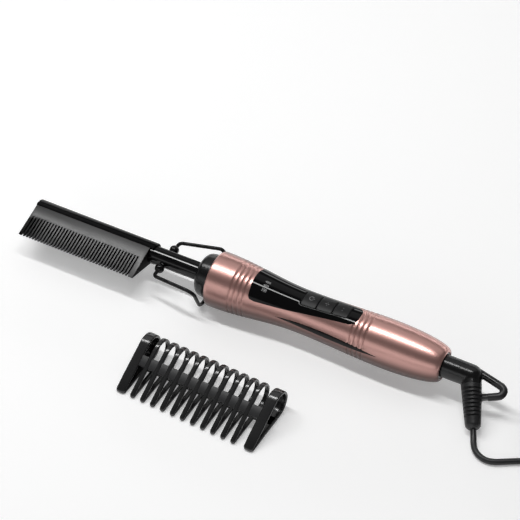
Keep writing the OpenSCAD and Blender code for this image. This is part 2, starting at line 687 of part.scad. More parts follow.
module supply_wires() color([0.85, 0.85, 0.85]) at_axis() for (s = [-1, 1])
    swept([[board_to - 6, s * 5, lead_z], [board_to - 1, s * 4, lead_z], [board_to + 4, s * 2.8, lead_z - 1.5],
        [spindle_x0 - 8, s * 2.8, supply_z + 1.5], [spindle_x0 - 3, s * 3, supply_z],
        [spindle_x0 - seat_fit, s * 3, supply_z]], lead_r, 8);

// ---------------------------------------------------------------- cord
boot_dir = [cos(boot_bend), -sin(boot_bend) * cos(boot_roll), -sin(boot_bend) * sin(boot_roll)];
boot_end = [rim_x + elbow_x, 0, axis_z] + boot_len * boot_dir;
lead_start = boot_end - (socket_depth - 0.6) * boot_dir;
// The coil: one unbroken tube that spirals in and out again over four layers
tie_t = 0.5;
lift = tie_t + 0.05;
coil_layers = 4;
coil_pitch = cord_d + 0.5;
coil_mid = [244, 9];
coil_start_a = -62;
layer_turns = coil_turns / coil_layers;
coil_out_r = coil_mean_r + layer_turns * coil_pitch / 2;
function coil_r(t) = let (k = floor(min(t / layer_turns, coil_layers - eps)), u = t / layer_turns - k)
    coil_out_r - coil_pitch * layer_turns * (k % 2 == 0 ? u : 1 - u);
function coil_z(t) = cord_r + lift + coil_pitch * (ease((t - layer_turns + 0.25) / 0.5)
    + ease((t - 2 * layer_turns + 0.25) / 0.5) + ease((t - 3 * layer_turns + 0.25) / 0.5));
function coil_at(t) = let (a = coil_start_a + 360 * t)
    [coil_mid.x + coil_r(t) * cos(a), coil_mid.y + coil_r(t) * sin(a), coil_z(t)];
coil_rings = 24;
coil_count = round(coil_turns * coil_rings);
coil_body = [for (k = [0 : coil_count]) coil_at(coil_turns * k / coil_count)];
coil_in = coil_body[0] - cord_d * unit([-sin(coil_start_a), cos(coil_start_a), 0]);
coil_end_a = coil_start_a + 360 * coil_turns;
coil_out = coil_body[coil_count] + cord_d * unit([-sin(coil_end_a), cos(coil_end_a), 0]);
coil_path = concat([coil_in], coil_body, [coil_out]);
// Least gap between turns: centre distances of points at least half a turn apart
coil_gap = min([for (i = [0 : 2 : coil_count]) for (j = [i + coil_rings / 2 : coil_count])
    norm(coil_body[i] - coil_body[j])]) - cord_d;
echo(coil_gap = coil_gap);
lead_points = [[195.2, -30.8, 3.2], [197.4, -35.2, 2.1], [200.2, -39, 1.9], [204, -41.6, 1.9],
    [208.6, -42.6, 1.9], [213.4, -41.4, 1.9], [219, -38.2, 1.9], [226, -34, 1.9],
    [234, -29.4, 2], [242.6, -24.6, 2.3]];
tail_points = [[266, -15, 14.4], [275, -9.5, 12.4], [282, -1.5, 9.6], [286, 7, 7.6]];
plug_at = [288, 15, 7];
plug_dir = [0.1736, 0.9848, 0];
lead_path = concat([lead_start, boot_end], lead_points, [coil_in - cord_d * unit(coil_body[0] - coil_in), coil_in]);
tail_path = concat([coil_out, coil_out + cord_d * unit(coil_out - coil_body[coil_count])], tail_points,
    [plug_at - cord_d * plug_dir, plug_at]);
function path_len(p) = len(p) < 2 ? 0 : [for (k = 0, s = 0; k < len(p) - 1; s = s + norm(p[k + 1] - p[k]), k = k + 1) s
    + norm(p[k + 1] - p[k])][len(p) - 2];
echo(lead = path_len(lead_path), coil = path_len(coil_path), tail = path_len(tail_path));
module cord_lead() color(soft_black) swept(lead_path, cord_r, 8, 22.5);
module cord_coil() color(soft_black) swept(coil_path, cord_r, 6);
module cord_tail() color(soft_black) swept(tail_path, cord_r, 8, 22.5);
tie_a = 128;
tie_w = 5;
tie_fit = 0.3;
bundle_in = coil_out_r - layer_turns * coil_pitch - cord_r - tie_fit;
bundle_out = coil_out_r + cord_r + tie_fit;
bundle_top = coil_z(coil_turns) + cord_r + tie_fit;
module coil_tie() color([0.15, 0.15, 0.16]) translate([coil_mid.x, coil_mid.y, 0]) rotate(tie_a)
    difference() {
        translate([bundle_in - tie_t, -tie_w / 2, 0])
            cube([bundle_out - bundle_in + 2 * tie_t, tie_w, bundle_top + tie_t]);
        translate([bundle_in, -tie_w, tie_t]) cube([bundle_out - bundle_in, 2 * tie_w, bundle_top - tie_t]);
    }
// Plug: a moulded two-pin body with a ribbed strain relief
plug_relief = 20;
relief_rib = 1.4;
plug_len = 26;
plug_w = 22;
plug_h = 14;
blade_gap = 12.7;
blade_w = 6.3;
blade_t = 1.5;
blade_len = 17;
module at_plug() translate(plug_at) rotate(atan2(plug_dir.y, plug_dir.x)) children();
module plug_body() color(black) at_plug() {
    difference() {
        turned([[0, 0], [3, 0], [4.6, plug_relief], [0, plug_relief]], 32);
        for (x = [2 * relief_rib : 2 * relief_rib : plug_relief - relief_rib])
            tube_x(6, 2.5, x - relief_rib / 2, x + relief_rib / 2, 32);
    }
    difference() {
        translate([plug_relief - eps, 0, 0]) rotate([90, 0, 90]) linear_extrude(height = plug_len)
            polygon([for (sx = [1, -1]) for (p = arc([0, 0], 1, sx > 0 ? -90 : 90, sx > 0 ? 90 : 270, 8))
                [sx * (plug_w - plug_h) / 2 + plug_h / 2 * p.x, plug_h / 2 * p.y]]);
        for (s = [-1, 1]) translate([plug_relief + 6, s * (plug_w / 2 + 2.4), 0]) rotate([0, 0, 0])
            translate([6, 0, -plug_h]) cylinder(r = 4, h = 2 * plug_h, $fn = 48);
    }
}
module plug_blades() color(steel) at_plug() for (s = [-1, 1])
    translate([plug_relief + plug_len + seat_fit / 2, s * blade_gap / 2 - blade_t / 2, -blade_w / 2]) difference() {
        cube([blade_len, blade_t, blade_w]);
        translate([blade_len - 4, -1, blade_w / 2]) rotate([-90, 0, 0]) cylinder(r = 1.6, h = blade_t + 2, $fn = 24);
    }

// ---------------------------------------------------------------- guard
guard_at = [-3.05, -64.7];
guard_turn = -2.4;
guard_half_angle = asin((guard_r - guard_tip_r) / guard_reach);
guard_run = guard_reach * cos(guard_half_angle);
guard_in_r = guard_r - guard_wall;
rib_line_w = 7.1;
rib_line_high = 6.3;
rib_line_low = 3;
rib_line_drop = 0.4;
// The section, as [distance towards the tips, height above the surface]
back_c = [0, guard_r];
tip_c = [guard_run, guard_tip_r];
slope = 2 * guard_half_angle;
apex_run = guard_in_r / sin(guard_half_angle);
apex = back_c + apex_run * [cos(guard_half_angle), -sin(guard_half_angle)];
module guard_outer()
    polygon(concat(arc(tip_c, guard_tip_r, -90, 90 - slope, 8), arc(back_c, guard_r, 90 - slope, 270, 24)));
module guard_inner() polygon(concat([apex], arc(back_c, guard_in_r, 90 - slope, 270, 24)));
module guard_slab(x0, x1) translate([x0, 0, 0]) rotate([90, 0, 90]) linear_extrude(height = x1 - x0)
    mirror([1, 0, 0]) children();
guard_last = (guard_ribs - 1) * guard_pitch;
closed_gap = 3.7;
open_gap = 5.9;
guard_x0 = -guard_rib_t / 2 - closed_gap - guard_closed_t;
guard_x1 = guard_last + guard_rib_t / 2 + open_gap + guard_open_t;
guard_end_wall = 2.5;
// The bars run along both faces, a little below the ribs' outside
module guard_bar(angle) translate(back_c) rotate(-angle)
    translate([rib_line_high, guard_in_r]) square([rib_line_w, guard_wall - rib_line_drop]);
module guard_comb() color(black) translate([rim_x + guard_at.x, guard_at.y, 0]) rotate(guard_turn) {
    difference() {
        union() {
            guard_slab(guard_x0, guard_x0 + guard_closed_t) guard_outer();
            guard_slab(guard_x1 - guard_open_t, guard_x1) guard_outer();
            for (k = [0 : guard_ribs - 1])
                guard_slab(k * guard_pitch - guard_rib_t / 2, k * guard_pitch + guard_rib_t / 2) guard_outer();
        }
        guard_slab(guard_x0 + guard_end_wall, guard_x1 + 1) guard_inner();
    }
    guard_slab(guard_x0 + 1, guard_x1 - 1) {
        guard_bar(slope);
        translate([rib_line_low, rib_line_drop]) square([rib_line_w, guard_wall - rib_line_drop]);
    }
}

comb_head();
spine_cover();
heater_core();
heater_sleeve();
temperature_sensor();
thermal_fuse();
heater_leads();
barrel();
barrel_bush();
front_collar();
stand_knuckles();
stand_bail();
upper_shell();
lower_shell();
control_panel();
power_button();
up_button();
down_button();
circuit_board();
board_parts();
tact_switches();
indicator_leds();
inlay_near();
inlay_far();
shell_screws();
tail_ring();
brush_block();
slip_brushes();
supply_wires();
swivel_boot();
swivel_spindle();
slip_rings();
cord_lead();
cord_coil();
cord_tail();
coil_tie();
plug_body();
plug_blades();
guard_comb();
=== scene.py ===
"""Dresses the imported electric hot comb: detailed pieces, finishes, floor, lights and camera.

Lengths are written in millimetres from the middle of the handle's front rim, with x along
the handle towards the cord, y towards the comb's round back and z up through the panel.
"""

import math

import bpy
from bpy.props import FloatProperty, FloatVectorProperty, PointerProperty
from mathutils import Matrix, Vector


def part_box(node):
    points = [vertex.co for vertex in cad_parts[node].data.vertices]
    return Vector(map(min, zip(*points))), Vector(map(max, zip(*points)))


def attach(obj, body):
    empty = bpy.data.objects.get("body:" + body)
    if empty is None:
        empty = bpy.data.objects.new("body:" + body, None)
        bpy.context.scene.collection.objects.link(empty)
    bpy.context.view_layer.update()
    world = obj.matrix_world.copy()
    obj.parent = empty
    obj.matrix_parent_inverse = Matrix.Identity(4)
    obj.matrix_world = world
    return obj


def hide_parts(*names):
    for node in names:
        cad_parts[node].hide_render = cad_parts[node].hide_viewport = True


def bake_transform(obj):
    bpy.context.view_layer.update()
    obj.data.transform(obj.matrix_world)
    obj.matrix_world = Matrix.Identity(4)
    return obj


bl_info = {
    "name": "Electric hot comb",
    "version": (1, 0, 0),
    "blender": (4, 5, 0),
    "location": "3D View > Sidebar > Hot Comb",
    "description": "Builds a dressed electric hot comb with its guard, cord and studio",
    "category": "Add Mesh",
}

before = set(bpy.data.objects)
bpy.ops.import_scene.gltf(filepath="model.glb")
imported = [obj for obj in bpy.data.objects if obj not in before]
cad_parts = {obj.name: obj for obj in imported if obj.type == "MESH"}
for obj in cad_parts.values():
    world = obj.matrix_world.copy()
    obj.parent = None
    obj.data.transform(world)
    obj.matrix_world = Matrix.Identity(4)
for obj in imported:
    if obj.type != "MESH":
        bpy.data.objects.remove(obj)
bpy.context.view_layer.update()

MM = 0.001
RIM = Vector((5.2, 0.0, 18.1)) * MM
X, Y, Z = Vector((1, 0, 0)), Vector((0, 1, 0)), Vector((0, 0, 1))

# The handle's outline as distance behind the rim
WAIST_AT = 62.0
BULGE_AT = 119.0
HANDLE_LEN = 156.5
FRONT_FLAT = 3.0


# ------------------------------------------------------------------ settings
class HandleSettings(bpy.types.PropertyGroup):
    """Sizes of the handle that a user would change."""

    front_radius: FloatProperty(
        name="Front radius", description="Radius at the front rim", default=18 * MM, unit="LENGTH"
    )
    waist_radius: FloatProperty(
        name="Waist radius", description="Radius at the waist", default=13.6 * MM, unit="LENGTH"
    )
    bulge_radius: FloatProperty(
        name="Rear radius", description="Radius at the rear swelling", default=15.35 * MM, unit="LENGTH"
    )
    tail_radius: FloatProperty(
        name="Tail radius", description="Radius at the tail edge", default=9.5 * MM, unit="LENGTH"
    )
    groove_depth: FloatProperty(
        name="Groove depth", description="Depth of the rings round the handle", default=0.45 * MM, unit="LENGTH"
    )


class FinishSettings(bpy.types.PropertyGroup):
    """Colours of the finishes, in linear light."""

    rose: FloatVectorProperty(
        name="Rose gold", description="Lacquered metal of the handle", subtype="COLOR",
        default=(0.66, 0.375, 0.335), min=0, max=1,
    )
    gloss: FloatVectorProperty(
        name="Gloss black", description="Panel, collar and inlays", subtype="COLOR",
        default=(0.0022, 0.0022, 0.0025), min=0, max=1,
    )
    matte: FloatVectorProperty(
        name="Matt black", description="Buttons and boot", subtype="COLOR",
        default=(0.0055, 0.0055, 0.006), min=0, max=1,
    )


class StudioSettings(bpy.types.PropertyGroup):
    """Brightness of the studio."""

    key: FloatProperty(name="Key light", description="Radiance of the overhead strip", default=24.0, min=0)
    fill: FloatProperty(name="Fill light", description="Radiance of the broad soft box", default=0.42, min=0)
    back: FloatProperty(name="Back light", description="Radiance of the low rear strip", default=2.6, min=0)
    front: FloatProperty(name="Front light", description="Radiance of the low front box", default=0.85, min=0)
    air: FloatProperty(name="Air", description="Brightness of the sky above the studio", default=0.12, min=0)


def handle_settings():
    return bpy.context.scene.comb_handle


# ------------------------------------------------------------------ modelling helpers
def pick(*objects):
    """Selects these objects alone; the first is active."""
    bpy.ops.object.select_all(action="DESELECT")
    for obj in objects:
        obj.select_set(True)
    bpy.context.view_layer.objects.active = objects[0]


def edit_all(obj):
    """Opens an object in edit mode with all of it selected."""
    pick(obj)
    bpy.ops.object.mode_set(mode="EDIT")
    bpy.ops.mesh.select_all(action="SELECT")


def push(way):
    """Extrudes the selection by a vector in metres."""
    bpy.ops.mesh.extrude_region_move(TRANSFORM_OT_translate={"value": way})


def added(add, **where):
    """Runs an operator that adds an object, with nothing else selected, and returns the object."""
    bpy.ops.object.select_all(action="DESELECT")
    add(**where)
    return bpy.context.object


def begin(name, add, **where):
    """Adds a primitive and opens it in edit mode, all selected."""
    obj = added(add, **where)
    obj.name = obj.data.name = name
    bpy.ops.object.mode_set(mode="EDIT")
    bpy.ops.mesh.select_all(action="SELECT")
    return obj


def settle(obj):
    """Leaves edit mode and puts the object's place into its mesh."""
    if obj.mode == "EDIT":
        bpy.ops.object.mode_set(mode="OBJECT")
    pick(obj)
    bpy.ops.object.transform_apply(location=True, rotation=True, scale=True)
    return obj


def apply_modifiers(obj):
    pick(obj)
    for modifier in list(obj.modifiers):
        bpy.ops.object.modifier_apply(modifier=modifier.name)
    return obj


def soften(obj, width, segments=2, angle=35):
    """Rounds the edges that are sharper than the angle."""
    bevel = obj.modifiers.new("Edges", "BEVEL")
    bevel.width = width * MM
    bevel.segments = segments
    bevel.limit_method = "ANGLE"
    bevel.angle_limit = math.radians(angle)
    bevel.harden_normals = False
    return apply_modifiers(obj)


def smooth(obj, angle=32):
    pick(obj)
    bpy.ops.object.shade_smooth_by_angle(angle=math.radians(angle))
    return obj


def tidy_mesh(obj, distance=0.004):
    """Merges doubles and turns all faces outwards."""
    edit_all(obj)
    bpy.ops.mesh.remove_doubles(threshold=distance * MM)
    bpy.ops.mesh.normals_make_consistent(inside=False)
    bpy.ops.object.mode_set(mode="OBJECT")
    return obj


def join(name, *parts):
    pick(*parts)
    if len(parts) > 1:
        bpy.ops.object.join()
    obj = bpy.context.object
    obj.name = obj.data.name = name
    return obj


def boolean(obj, cutter, operation="DIFFERENCE"):
    """Cuts obj with a solid that is then removed."""
    cut = obj.modifiers.new("Cut", "BOOLEAN")
    cut.operation = operation
    cut.solver = "EXACT"
    cut.object = cutter
    apply_modifiers(obj)
    bpy.data.objects.remove(cutter)
    return obj


def cut_away(obj, place, way, **settings):
    """Removes all that lies behind a plane and closes the cut."""
    edit_all(obj)
    bpy.ops.mesh.bisect(plane_co=place, plane_no=way, use_fill=True, clear_inner=True, **settings)
    return settle(obj)


def cylinder(radius, depth, vertices, location, along=None):
    """A round cutter in millimetres, with its middle at a place in metres."""
    cutter = added(
        bpy.ops.mesh.primitive_cylinder_add, vertices=vertices, radius=radius * MM, depth=depth * MM
    )
    if along:
        cutter.rotation_euler = along.to_track_quat("Z", "Y").to_euler()
    cutter.location = location
    return settle(cutter)


def finish_piece(obj, body, slot, *nodes):
    """Hands a finished piece to its body, and hides the nodes it stands for."""
    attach(obj, body)
    if nodes:
        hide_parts(*nodes)
    return obj


def dress(obj, angle, finish, body, slot, *nodes):
    """Shades a piece, gives it its one finish and hands it over."""
    smooth(obj, angle)
    wear(obj, finish)
    return finish_piece(obj, body, slot, *nodes)


def rounded(corners, steps=4):
    """An outline through (a, b, radius) corners, with an arc at each corner that has a radius."""
    line = []
    for i, corner in enumerate(corners):
        p = Vector(corner[:2])
        radius = corner[2] if len(corner) > 2 else 0
        if radius <= 0 or i in (0, len(corners) - 1):
            line.append(p)
            continue
        before = (Vector(corners[i - 1][:2]) - p).normalized()
        after = (Vector(corners[i + 1][:2]) - p).normalized()
        half = before.angle(after) / 2
        reach = radius / math.tan(half)
        centre = p + (before + after).normalized() * (radius / math.sin(half))
        a = p + before * reach - centre
        b = p + after * reach - centre
        for k in range(steps + 1):
            t = k / steps
            line.append(centre + (a.lerp(b, t)).normalized() * radius)
    return line


def begin_line(name, points):
    """A mesh that is one line through points in metres, open in edit mode."""
    obj = begin(name, bpy.ops.mesh.primitive_plane_add, size=MM, location=points[0])
    bpy.ops.mesh.merge(type="CENTER")
    for a, b in zip(points, points[1:]):
        push(Vector(b) - Vector(a))
    bpy.ops.mesh.select_all(action="SELECT")
    return obj


def spun(name, outline, origin, axis, out, steps=48):
    """A body of revolution: (along, radius) millimetres turned round an axis through origin."""
    axis, out = Vector(axis).normalized(), Vector(out).normalized()
    obj = begin_line(name, [origin + (axis * a + out * r) * MM for a, r in outline])
    bpy.ops.mesh.spin(steps=steps, angle=2 * math.pi, center=origin, axis=axis, use_auto_merge=False)
    settle(obj)
    return tidy_mesh(obj)


def turned(name, outline, steps=96):
    """A body of revolution round the handle's axis."""
    return spun(name, outline, RIM, X, Z, steps)


def extruded(name, outline, depth, origin, u, v, w):
    """A prism: an outline of (u, v) millimetres, extruded along w by depth millimetres."""
    line = [origin + (u * a + v * b) * MM for a, b in outline]
    obj = begin_line(name, line + [line[0]])
    bpy.ops.mesh.remove_doubles(threshold=1e-6)
    bpy.ops.mesh.select_all(action="SELECT")
    bpy.ops.mesh.edge_face_add()
    push(w * depth * MM)
    bpy.ops.mesh.select_all(action="SELECT")
    bpy.ops.mesh.normals_make_consistent(inside=False)
    return settle(obj)


def tube(name, points, radius, sides):
    """A round wire along points in metres, made as a curve and converted to a mesh."""
    obj = added(bpy.ops.curve.primitive_nurbs_path_add)
    obj.name = name
    curve = obj.data
    curve.splines.clear()
    spline = curve.splines.new("POLY")
    spline.points.add(len(points) - 1)
    for point, place in zip(spline.points, points):
        point.co = (*place, 1)
    curve.dimensions = "3D"
    curve.twist_mode = "MINIMUM"
    curve.bevel_depth = radius * MM
    curve.bevel_resolution = max(0, sides // 4 - 1)
    curve.use_fill_caps = True
    obj.location = (0, 0, 0)
    bpy.ops.object.convert(target="MESH")
    obj = bpy.context.object
    obj.data.name = name
    return tidy_mesh(settle(obj), 0.0005)


def arc(centre, radius, start, end, steps):
    """Points on an arc, in degrees, as (a, b)."""
    turn = (end - start) / steps
    places = [polar(radius, start + turn * k) for k in range(steps + 1)]
    return [Vector((centre[0] + a, centre[1] + b)) for a, b in places]


def at_rim(x, y, z):
    """A point in millimetres from the rim's middle, in the row frame's metres."""
    return RIM + Vector((x, y, z)) * MM


def polar(radius, degrees):
    """A point (a, b) at an angle."""
    a = math.radians(degrees)
    return radius * math.cos(a), radius * math.sin(a)


def ease(t):
    """Rises from 0 to 1 with level ends."""
    return (1 - math.cos(math.pi * min(1.0, max(0.0, t)))) / 2


def handle_radius(x):
    """The handle's outer radius in millimetres at a distance behind its rim."""
    s = handle_settings()
    front, waist, bulge, tail = (
        r / MM for r in (s.front_radius, s.waist_radius, s.bulge_radius, s.tail_radius)
    )
    if x < WAIST_AT:
        return front - (front - waist) * ease((x - FRONT_FLAT) / (WAIST_AT - FRONT_FLAT))
    if x < BULGE_AT:
        return waist + (bulge - waist) * ease((x - WAIST_AT) / (BULGE_AT - WAIST_AT))
    share = (x - BULGE_AT) / (HANDLE_LEN - BULGE_AT)
    return tail + (bulge - tail) * math.sqrt(max(0.0, 1 - share * share))


def on_handle(x, y, lift=0.0):
    """A point above (x, y) on the handle's surface, lifted along its radius, in metres."""
    r = handle_radius(x)
    a = math.asin(max(-1.0, min(1.0, y / r)))
    r += lift
    return at_rim(x, r * math.sin(a), r * math.cos(a))


# ------------------------------------------------------------------ finishes
def feed(tree, node, inputs):
    """Sets a node's inputs, each to a value or by a link from another node's output."""
    for label, value in inputs.items():
        if isinstance(value, bpy.types.NodeSocket):
            tree.links.new(value, node.inputs[label])
        else:
            node.inputs[label].default_value = value
    return node


def add_node(tree, kind, inputs=None, **settings):
    """Adds a shader node with its settings and inputs."""
    node = tree.nodes.new("ShaderNode" + kind)
    for label, value in settings.items():
        setattr(node, label, value)
    return feed(tree, node, inputs or {})


def object_place(tree):
    return add_node(tree, "TexCoord").outputs["Object"]


def socket_group(name, inputs, outputs):
    """An empty shader group; inputs have defaults, and a socket called Color is a colour."""
    group = bpy.data.node_groups.new(name, "ShaderNodeTree")
    kinds = {True: "NodeSocketColor", False: "NodeSocketFloat"}
    for label, default in inputs.items():
        socket = group.interface.new_socket(name=label, in_out="INPUT", socket_type=kinds[label == "Color"])
        socket.default_value = default
    for label in outputs:
        group.interface.new_socket(name=label, in_out="OUTPUT", socket_type=kinds[label == "Color"])
    return group, group.nodes.new("NodeGroupInput").outputs, group.nodes.new("NodeGroupOutput")


def moulded_grain_group():
    """Fine moulded texture: roughness that varies in soft patches, and a bump height."""
    group, given, result = socket_group(
        "Moulded grain", {"Scale": 2500.0, "Roughness": 0.5, "Patchiness": 0.06}, ("Roughness", "Height")
    )
    place = object_place(group)
    fine = add_node(group, "TexNoise", {"Vector": place, "Scale": given["Scale"], "Detail": 3})
    patch = add_node(group, "TexNoise", {"Vector": place, "Scale": 90, "Detail": 4})
    centred = add_node(group, "Math", {0: patch.outputs["Fac"], 1: 0.5}, operation="SUBTRACT")
    vary = add_node(
        group, "Math", {0: centred.outputs[0], 1: given["Patchiness"], 2: given["Roughness"]},
        operation="MULTIPLY_ADD",
    )
    feed(group, result, {"Roughness": vary.outputs[0], "Height": fine.outputs["Fac"]})


def flake_group():
    """Metallic lacquer: tiny flakes tilt the shade a little and give a fine sparkle."""
    group, given, result = socket_group(
        "Lacquer flakes", {"Color": (0.7, 0.4, 0.35, 1), "Scale": 6000.0, "Strength": 0.1}, ("Color", "Height")
    )
    flakes = add_node(group, "TexVoronoi", {"Vector": object_place(group), "Scale": given["Scale"]})
    spread = add_node(group, "SeparateColor", {0: flakes.outputs["Color"]})
    centred = add_node(group, "Math", {0: spread.outputs[0], 1: 0.5}, operation="SUBTRACT")
    swing = add_node(
        group, "Math", {0: centred.outputs[0], 1: given["Strength"], 2: 1.0}, operation="MULTIPLY_ADD"
    )
    shade = add_node(group, "VectorMath", {0: given["Color"], "Scale": swing.outputs[0]}, operation="SCALE")
    feed(group, result, {"Color": shade.outputs[0], "Height": spread.outputs[1]})


def fades(tree, ranges):
    """Smooth steps along axes of the object's place, each from (axis, inputs of the step)."""
    split = add_node(tree, "SeparateXYZ", {0: object_place(tree)})
    return [
        add_node(
            tree, "MapRange", {"Value": split.outputs[axis], **inputs}, interpolation_type="SMOOTHSTEP"
        ).outputs["Result"]
        for axis, inputs in ranges
    ]


def underside_group():
    """Painted shade that deepens down to the handle's underside and out to its far flank."""
    group, given, result = socket_group(
        "Underside shade",
        {
            "High": 25.5 * MM, "Low": 16.0 * MM, "Dark": 0.2,
            "Far start": 6.5 * MM, "Far end": 11.0 * MM, "Far dark": 0.3,
        },
        ("Shade",),
    )
    down, out = fades(group, (
        ("Z", {"From Min": given["Low"], "From Max": given["High"], "To Min": given["Dark"]}),
        ("Y", {"From Min": given["Far end"], "From Max": given["Far start"], "To Min": given["Far dark"]}),
    ))
    both = add_node(group, "Math", {0: down, 1: out}, operation="MULTIPLY")
    feed(group, result, {"Shade": both.outputs[0]})


def principled(name, color, roughness, **settings):
    """A material with one Principled shader; returns (material, node tree, shader)."""
    material = bpy.data.materials.new(name)
    material.use_nodes = True
    shader = material.node_tree.nodes["Principled BSDF"]
    inputs = {label.replace("_", " ").title().replace("Ior", "IOR"): value for label, value in settings.items()}
    feed(material.node_tree, shader, {"Base Color": (*color, 1), "Roughness": roughness, **inputs})
    return material, material.node_tree, shader


def add_group(tree, name, inputs):
    return feed(tree, add_node(tree, "Group", node_tree=bpy.data.node_groups[name]), inputs)


def add_bump(tree, shader, height, strength, distance):
    bump = add_node(tree, "Bump", {"Strength": strength, "Distance": distance * MM, "Height": height})
    feed(tree, shader, {"Normal": bump.outputs["Normal"]})


def moulded(name, color, roughness, grain=2500.0, bump=0.12, patchiness=0.06, **settings):
    """A moulded plastic or rubber with a fine grain."""
    material, tree, shader = principled(name, color, roughness, **settings)
    group = add_group(tree, "Moulded grain", {"Scale": grain, "Roughness": roughness, "Patchiness": patchiness})
    feed(tree, shader, {"Roughness": group.outputs["Roughness"]})
    add_bump(tree, shader, group.outputs["Height"], bump, 0.03)
    return material


def lacquer(name, color, roughness):
    """A metallic lacquer with fine flakes under a clear coat; painted shade darkens it at the underside and far
    flank.
    """
    material, tree, shader = principled(
        name, color, roughness, metallic=1.0, coat_weight=0.35, coat_roughness=0.12
    )
    group = add_group(tree, "Lacquer flakes", {"Color": (*color, 1), "Strength": 0.1})
    under = add_group(tree, "Underside shade", {"Dark": 0.16})
    deepen = add_node(
        tree, "VectorMath", {0: group.outputs["Color"], "Scale": under.outputs["Shade"]}, operation="SCALE"
    )
    feed(tree, shader, {"Base Color": deepen.outputs[0]})
    add_bump(tree, shader, group.outputs["Height"], 0.03, 0.01)
    return material


MATERIALS = {}


def make_materials():
    """Every finish of the comb, by a plain name."""
    finish = bpy.context.scene.comb_finish
    gloss = tuple(finish.gloss)
    moulded_grain_group()
    flake_group()
    underside_group()
    made = {
        "rose": lacquer("Rose gold lacquer", tuple(finish.rose), 0.33),
        "gloss": moulded("Gloss black", gloss, 0.05, 400, 0.01, 0.02, specular_ior_level=0.22),
        "collar": moulded("Collar black", gloss, 0.26, 700, 0.03, 0.04, specular_ior_level=0.45),
        "matte": moulded("Matt black", tuple(finish.matte), 0.42, 3000, 0.25, specular_ior_level=0.3),
        "boot": moulded("Boot black", (0.014, 0.014, 0.015), 0.38, 2600, 0.2),
        "neck": moulded("Neck black", gloss, 0.24, 2600, 0.1),
        "guard": moulded("Guard black", (0.0055, 0.0055, 0.006), 0.22, 2200, 0.1, specular_ior_level=0.9),
        "bar": moulded("Guard bars", (0.018, 0.018, 0.019), 0.45, 2200, 0.15),
        # Painted shade: a near-black, barely glossy finish for the comb's slot walls and end faces
        "slot": moulded("Slot painted shade", (0.0015, 0.0015, 0.0015), 0.6, 3000, 0.1, specular_ior_level=0.08),
        "comb": moulded("Comb coating", (0.01, 0.01, 0.0105), 0.42, 5200, 0.3, specular_ior_level=1.0),
        "spine": moulded("Spine cover black", gloss, 0.11, 3000, 0.05, specular_ior_level=0.12),
        "enamel": moulded("Barrel enamel", gloss, 0.1, 900, 0.02, specular_ior_level=0.35),
        "wire": moulded("Wire lacquer", (0.0025, 0.0025, 0.003), 0.2, 900, 0.03, specular_ior_level=0.25),
        "cord": moulded("Cord sheath", (0.01, 0.01, 0.011), 0.38, 3500, 0.2),
        "tie": moulded("Strap", (0.02, 0.02, 0.022), 0.7, grain=3800, bump=0.6),
        "ink": moulded("Number ink", (0.42, 0.42, 0.42), 0.5, grain=3000, bump=0.02),
        "mark": moulded("Button marks", (0.16, 0.16, 0.165), 0.45, grain=3000, bump=0.02),
        "nickel": principled("Nickel plating", (0.68, 0.66, 0.63), 0.18, metallic=1.0)[0],
        "steel": principled("Zinc plating", (0.55, 0.55, 0.56), 0.35, metallic=1.0)[0],
        "brass": principled("Brass", (0.7, 0.48, 0.18), 0.25, metallic=1.0)[0],
        "ceramic": moulded("Ceramic", (0.72, 0.69, 0.62), 0.55),
        "amber": moulded("Heat-proof film", (0.55, 0.25, 0.05), 0.25),
        "red": moulded("Red insulation", (0.5, 0.02, 0.015), 0.45),
        "white": moulded("White insulation", (0.7, 0.7, 0.7), 0.45),
        "board": moulded("Circuit board", (0.01, 0.12, 0.05), 0.3),
        "parts": moulded("Board parts", (0.3, 0.18, 0.05), 0.5),
        "lamp": moulded("Clear lamp", (0.75, 0.72, 0.68), 0.15),
    }
    # Painted shade over the comb's first teeth
    paint_corner_shade(made["comb"])
    MATERIALS.update(made)


def paint_corner_shade(material):
    """Paints shade over the first teeth of the comb: there the base colour and the specular level fall to near
    black.
    """
    tree = material.node_tree
    shader = tree.nodes["Principled BSDF"]
    masks = fades(tree, (
        ("X", {"From Min": RIM.x - 130 * MM, "From Max": RIM.x - 111 * MM}),
        ("Y", {"From Min": -13 * MM, "From Max": -8 * MM}),
    ))
    lit = add_node(tree, "Math", {0: masks[0], 1: masks[1]}, operation="MAXIMUM").outputs[0]
    shine = shader.inputs["Specular IOR Level"]
    level = add_node(tree, "MapRange", {"Value": lit, "To Min": 0.08, "To Max": shine.default_value})
    full = tuple(shader.inputs["Base Color"].default_value)
    color = add_node(tree, "Mix", {"Factor": lit, "A": (0.002, 0.002, 0.002, 1), "B": full}, data_type="RGBA")
    feed(tree, shader, {"Specular IOR Level": level.outputs["Result"], "Base Color": color.outputs["Result"]})


def wear(obj, key):
    """Gives a piece one finish."""
    obj.data.materials.clear()
    obj.data.materials.append(MATERIALS[key])
    return obj


def wear_part(obj, key, chosen):
    """Gives the faces that pass a test a further finish."""
    obj.data.materials.append(MATERIALS[key])
    index = len(obj.data.materials) - 1
    for face in obj.data.polygons:
        if chosen(face):
            face.material_index = index


NODE_FINISHES = {
    "comb": "comb_head", "spine": "spine_cover", "rose": "upper_shell lower_shell", "wire": "stand_bail",
    "enamel": "barrel stand_knuckles", "gloss": "front_collar control_panel inlay_near inlay_far",
    "matte": "power_button up_button down_button tact_switches tail_ring brush_block",
    "ceramic": "heater_core barrel_bush swivel_spindle", "amber": "heater_sleeve temperature_sensor",
    "steel": "thermal_fuse shell_screws", "red": "heater_leads", "white": "supply_wires", "board": "circuit_board",
    "parts": "board_parts", "lamp": "indicator_leds", "brass": "slip_brushes slip_rings",
    "cord": "cord_lead cord_coil cord_tail", "tie": "coil_tie", "boot": "swivel_boot plug_body",
    "nickel": "plug_blades", "guard": "guard_comb",
}


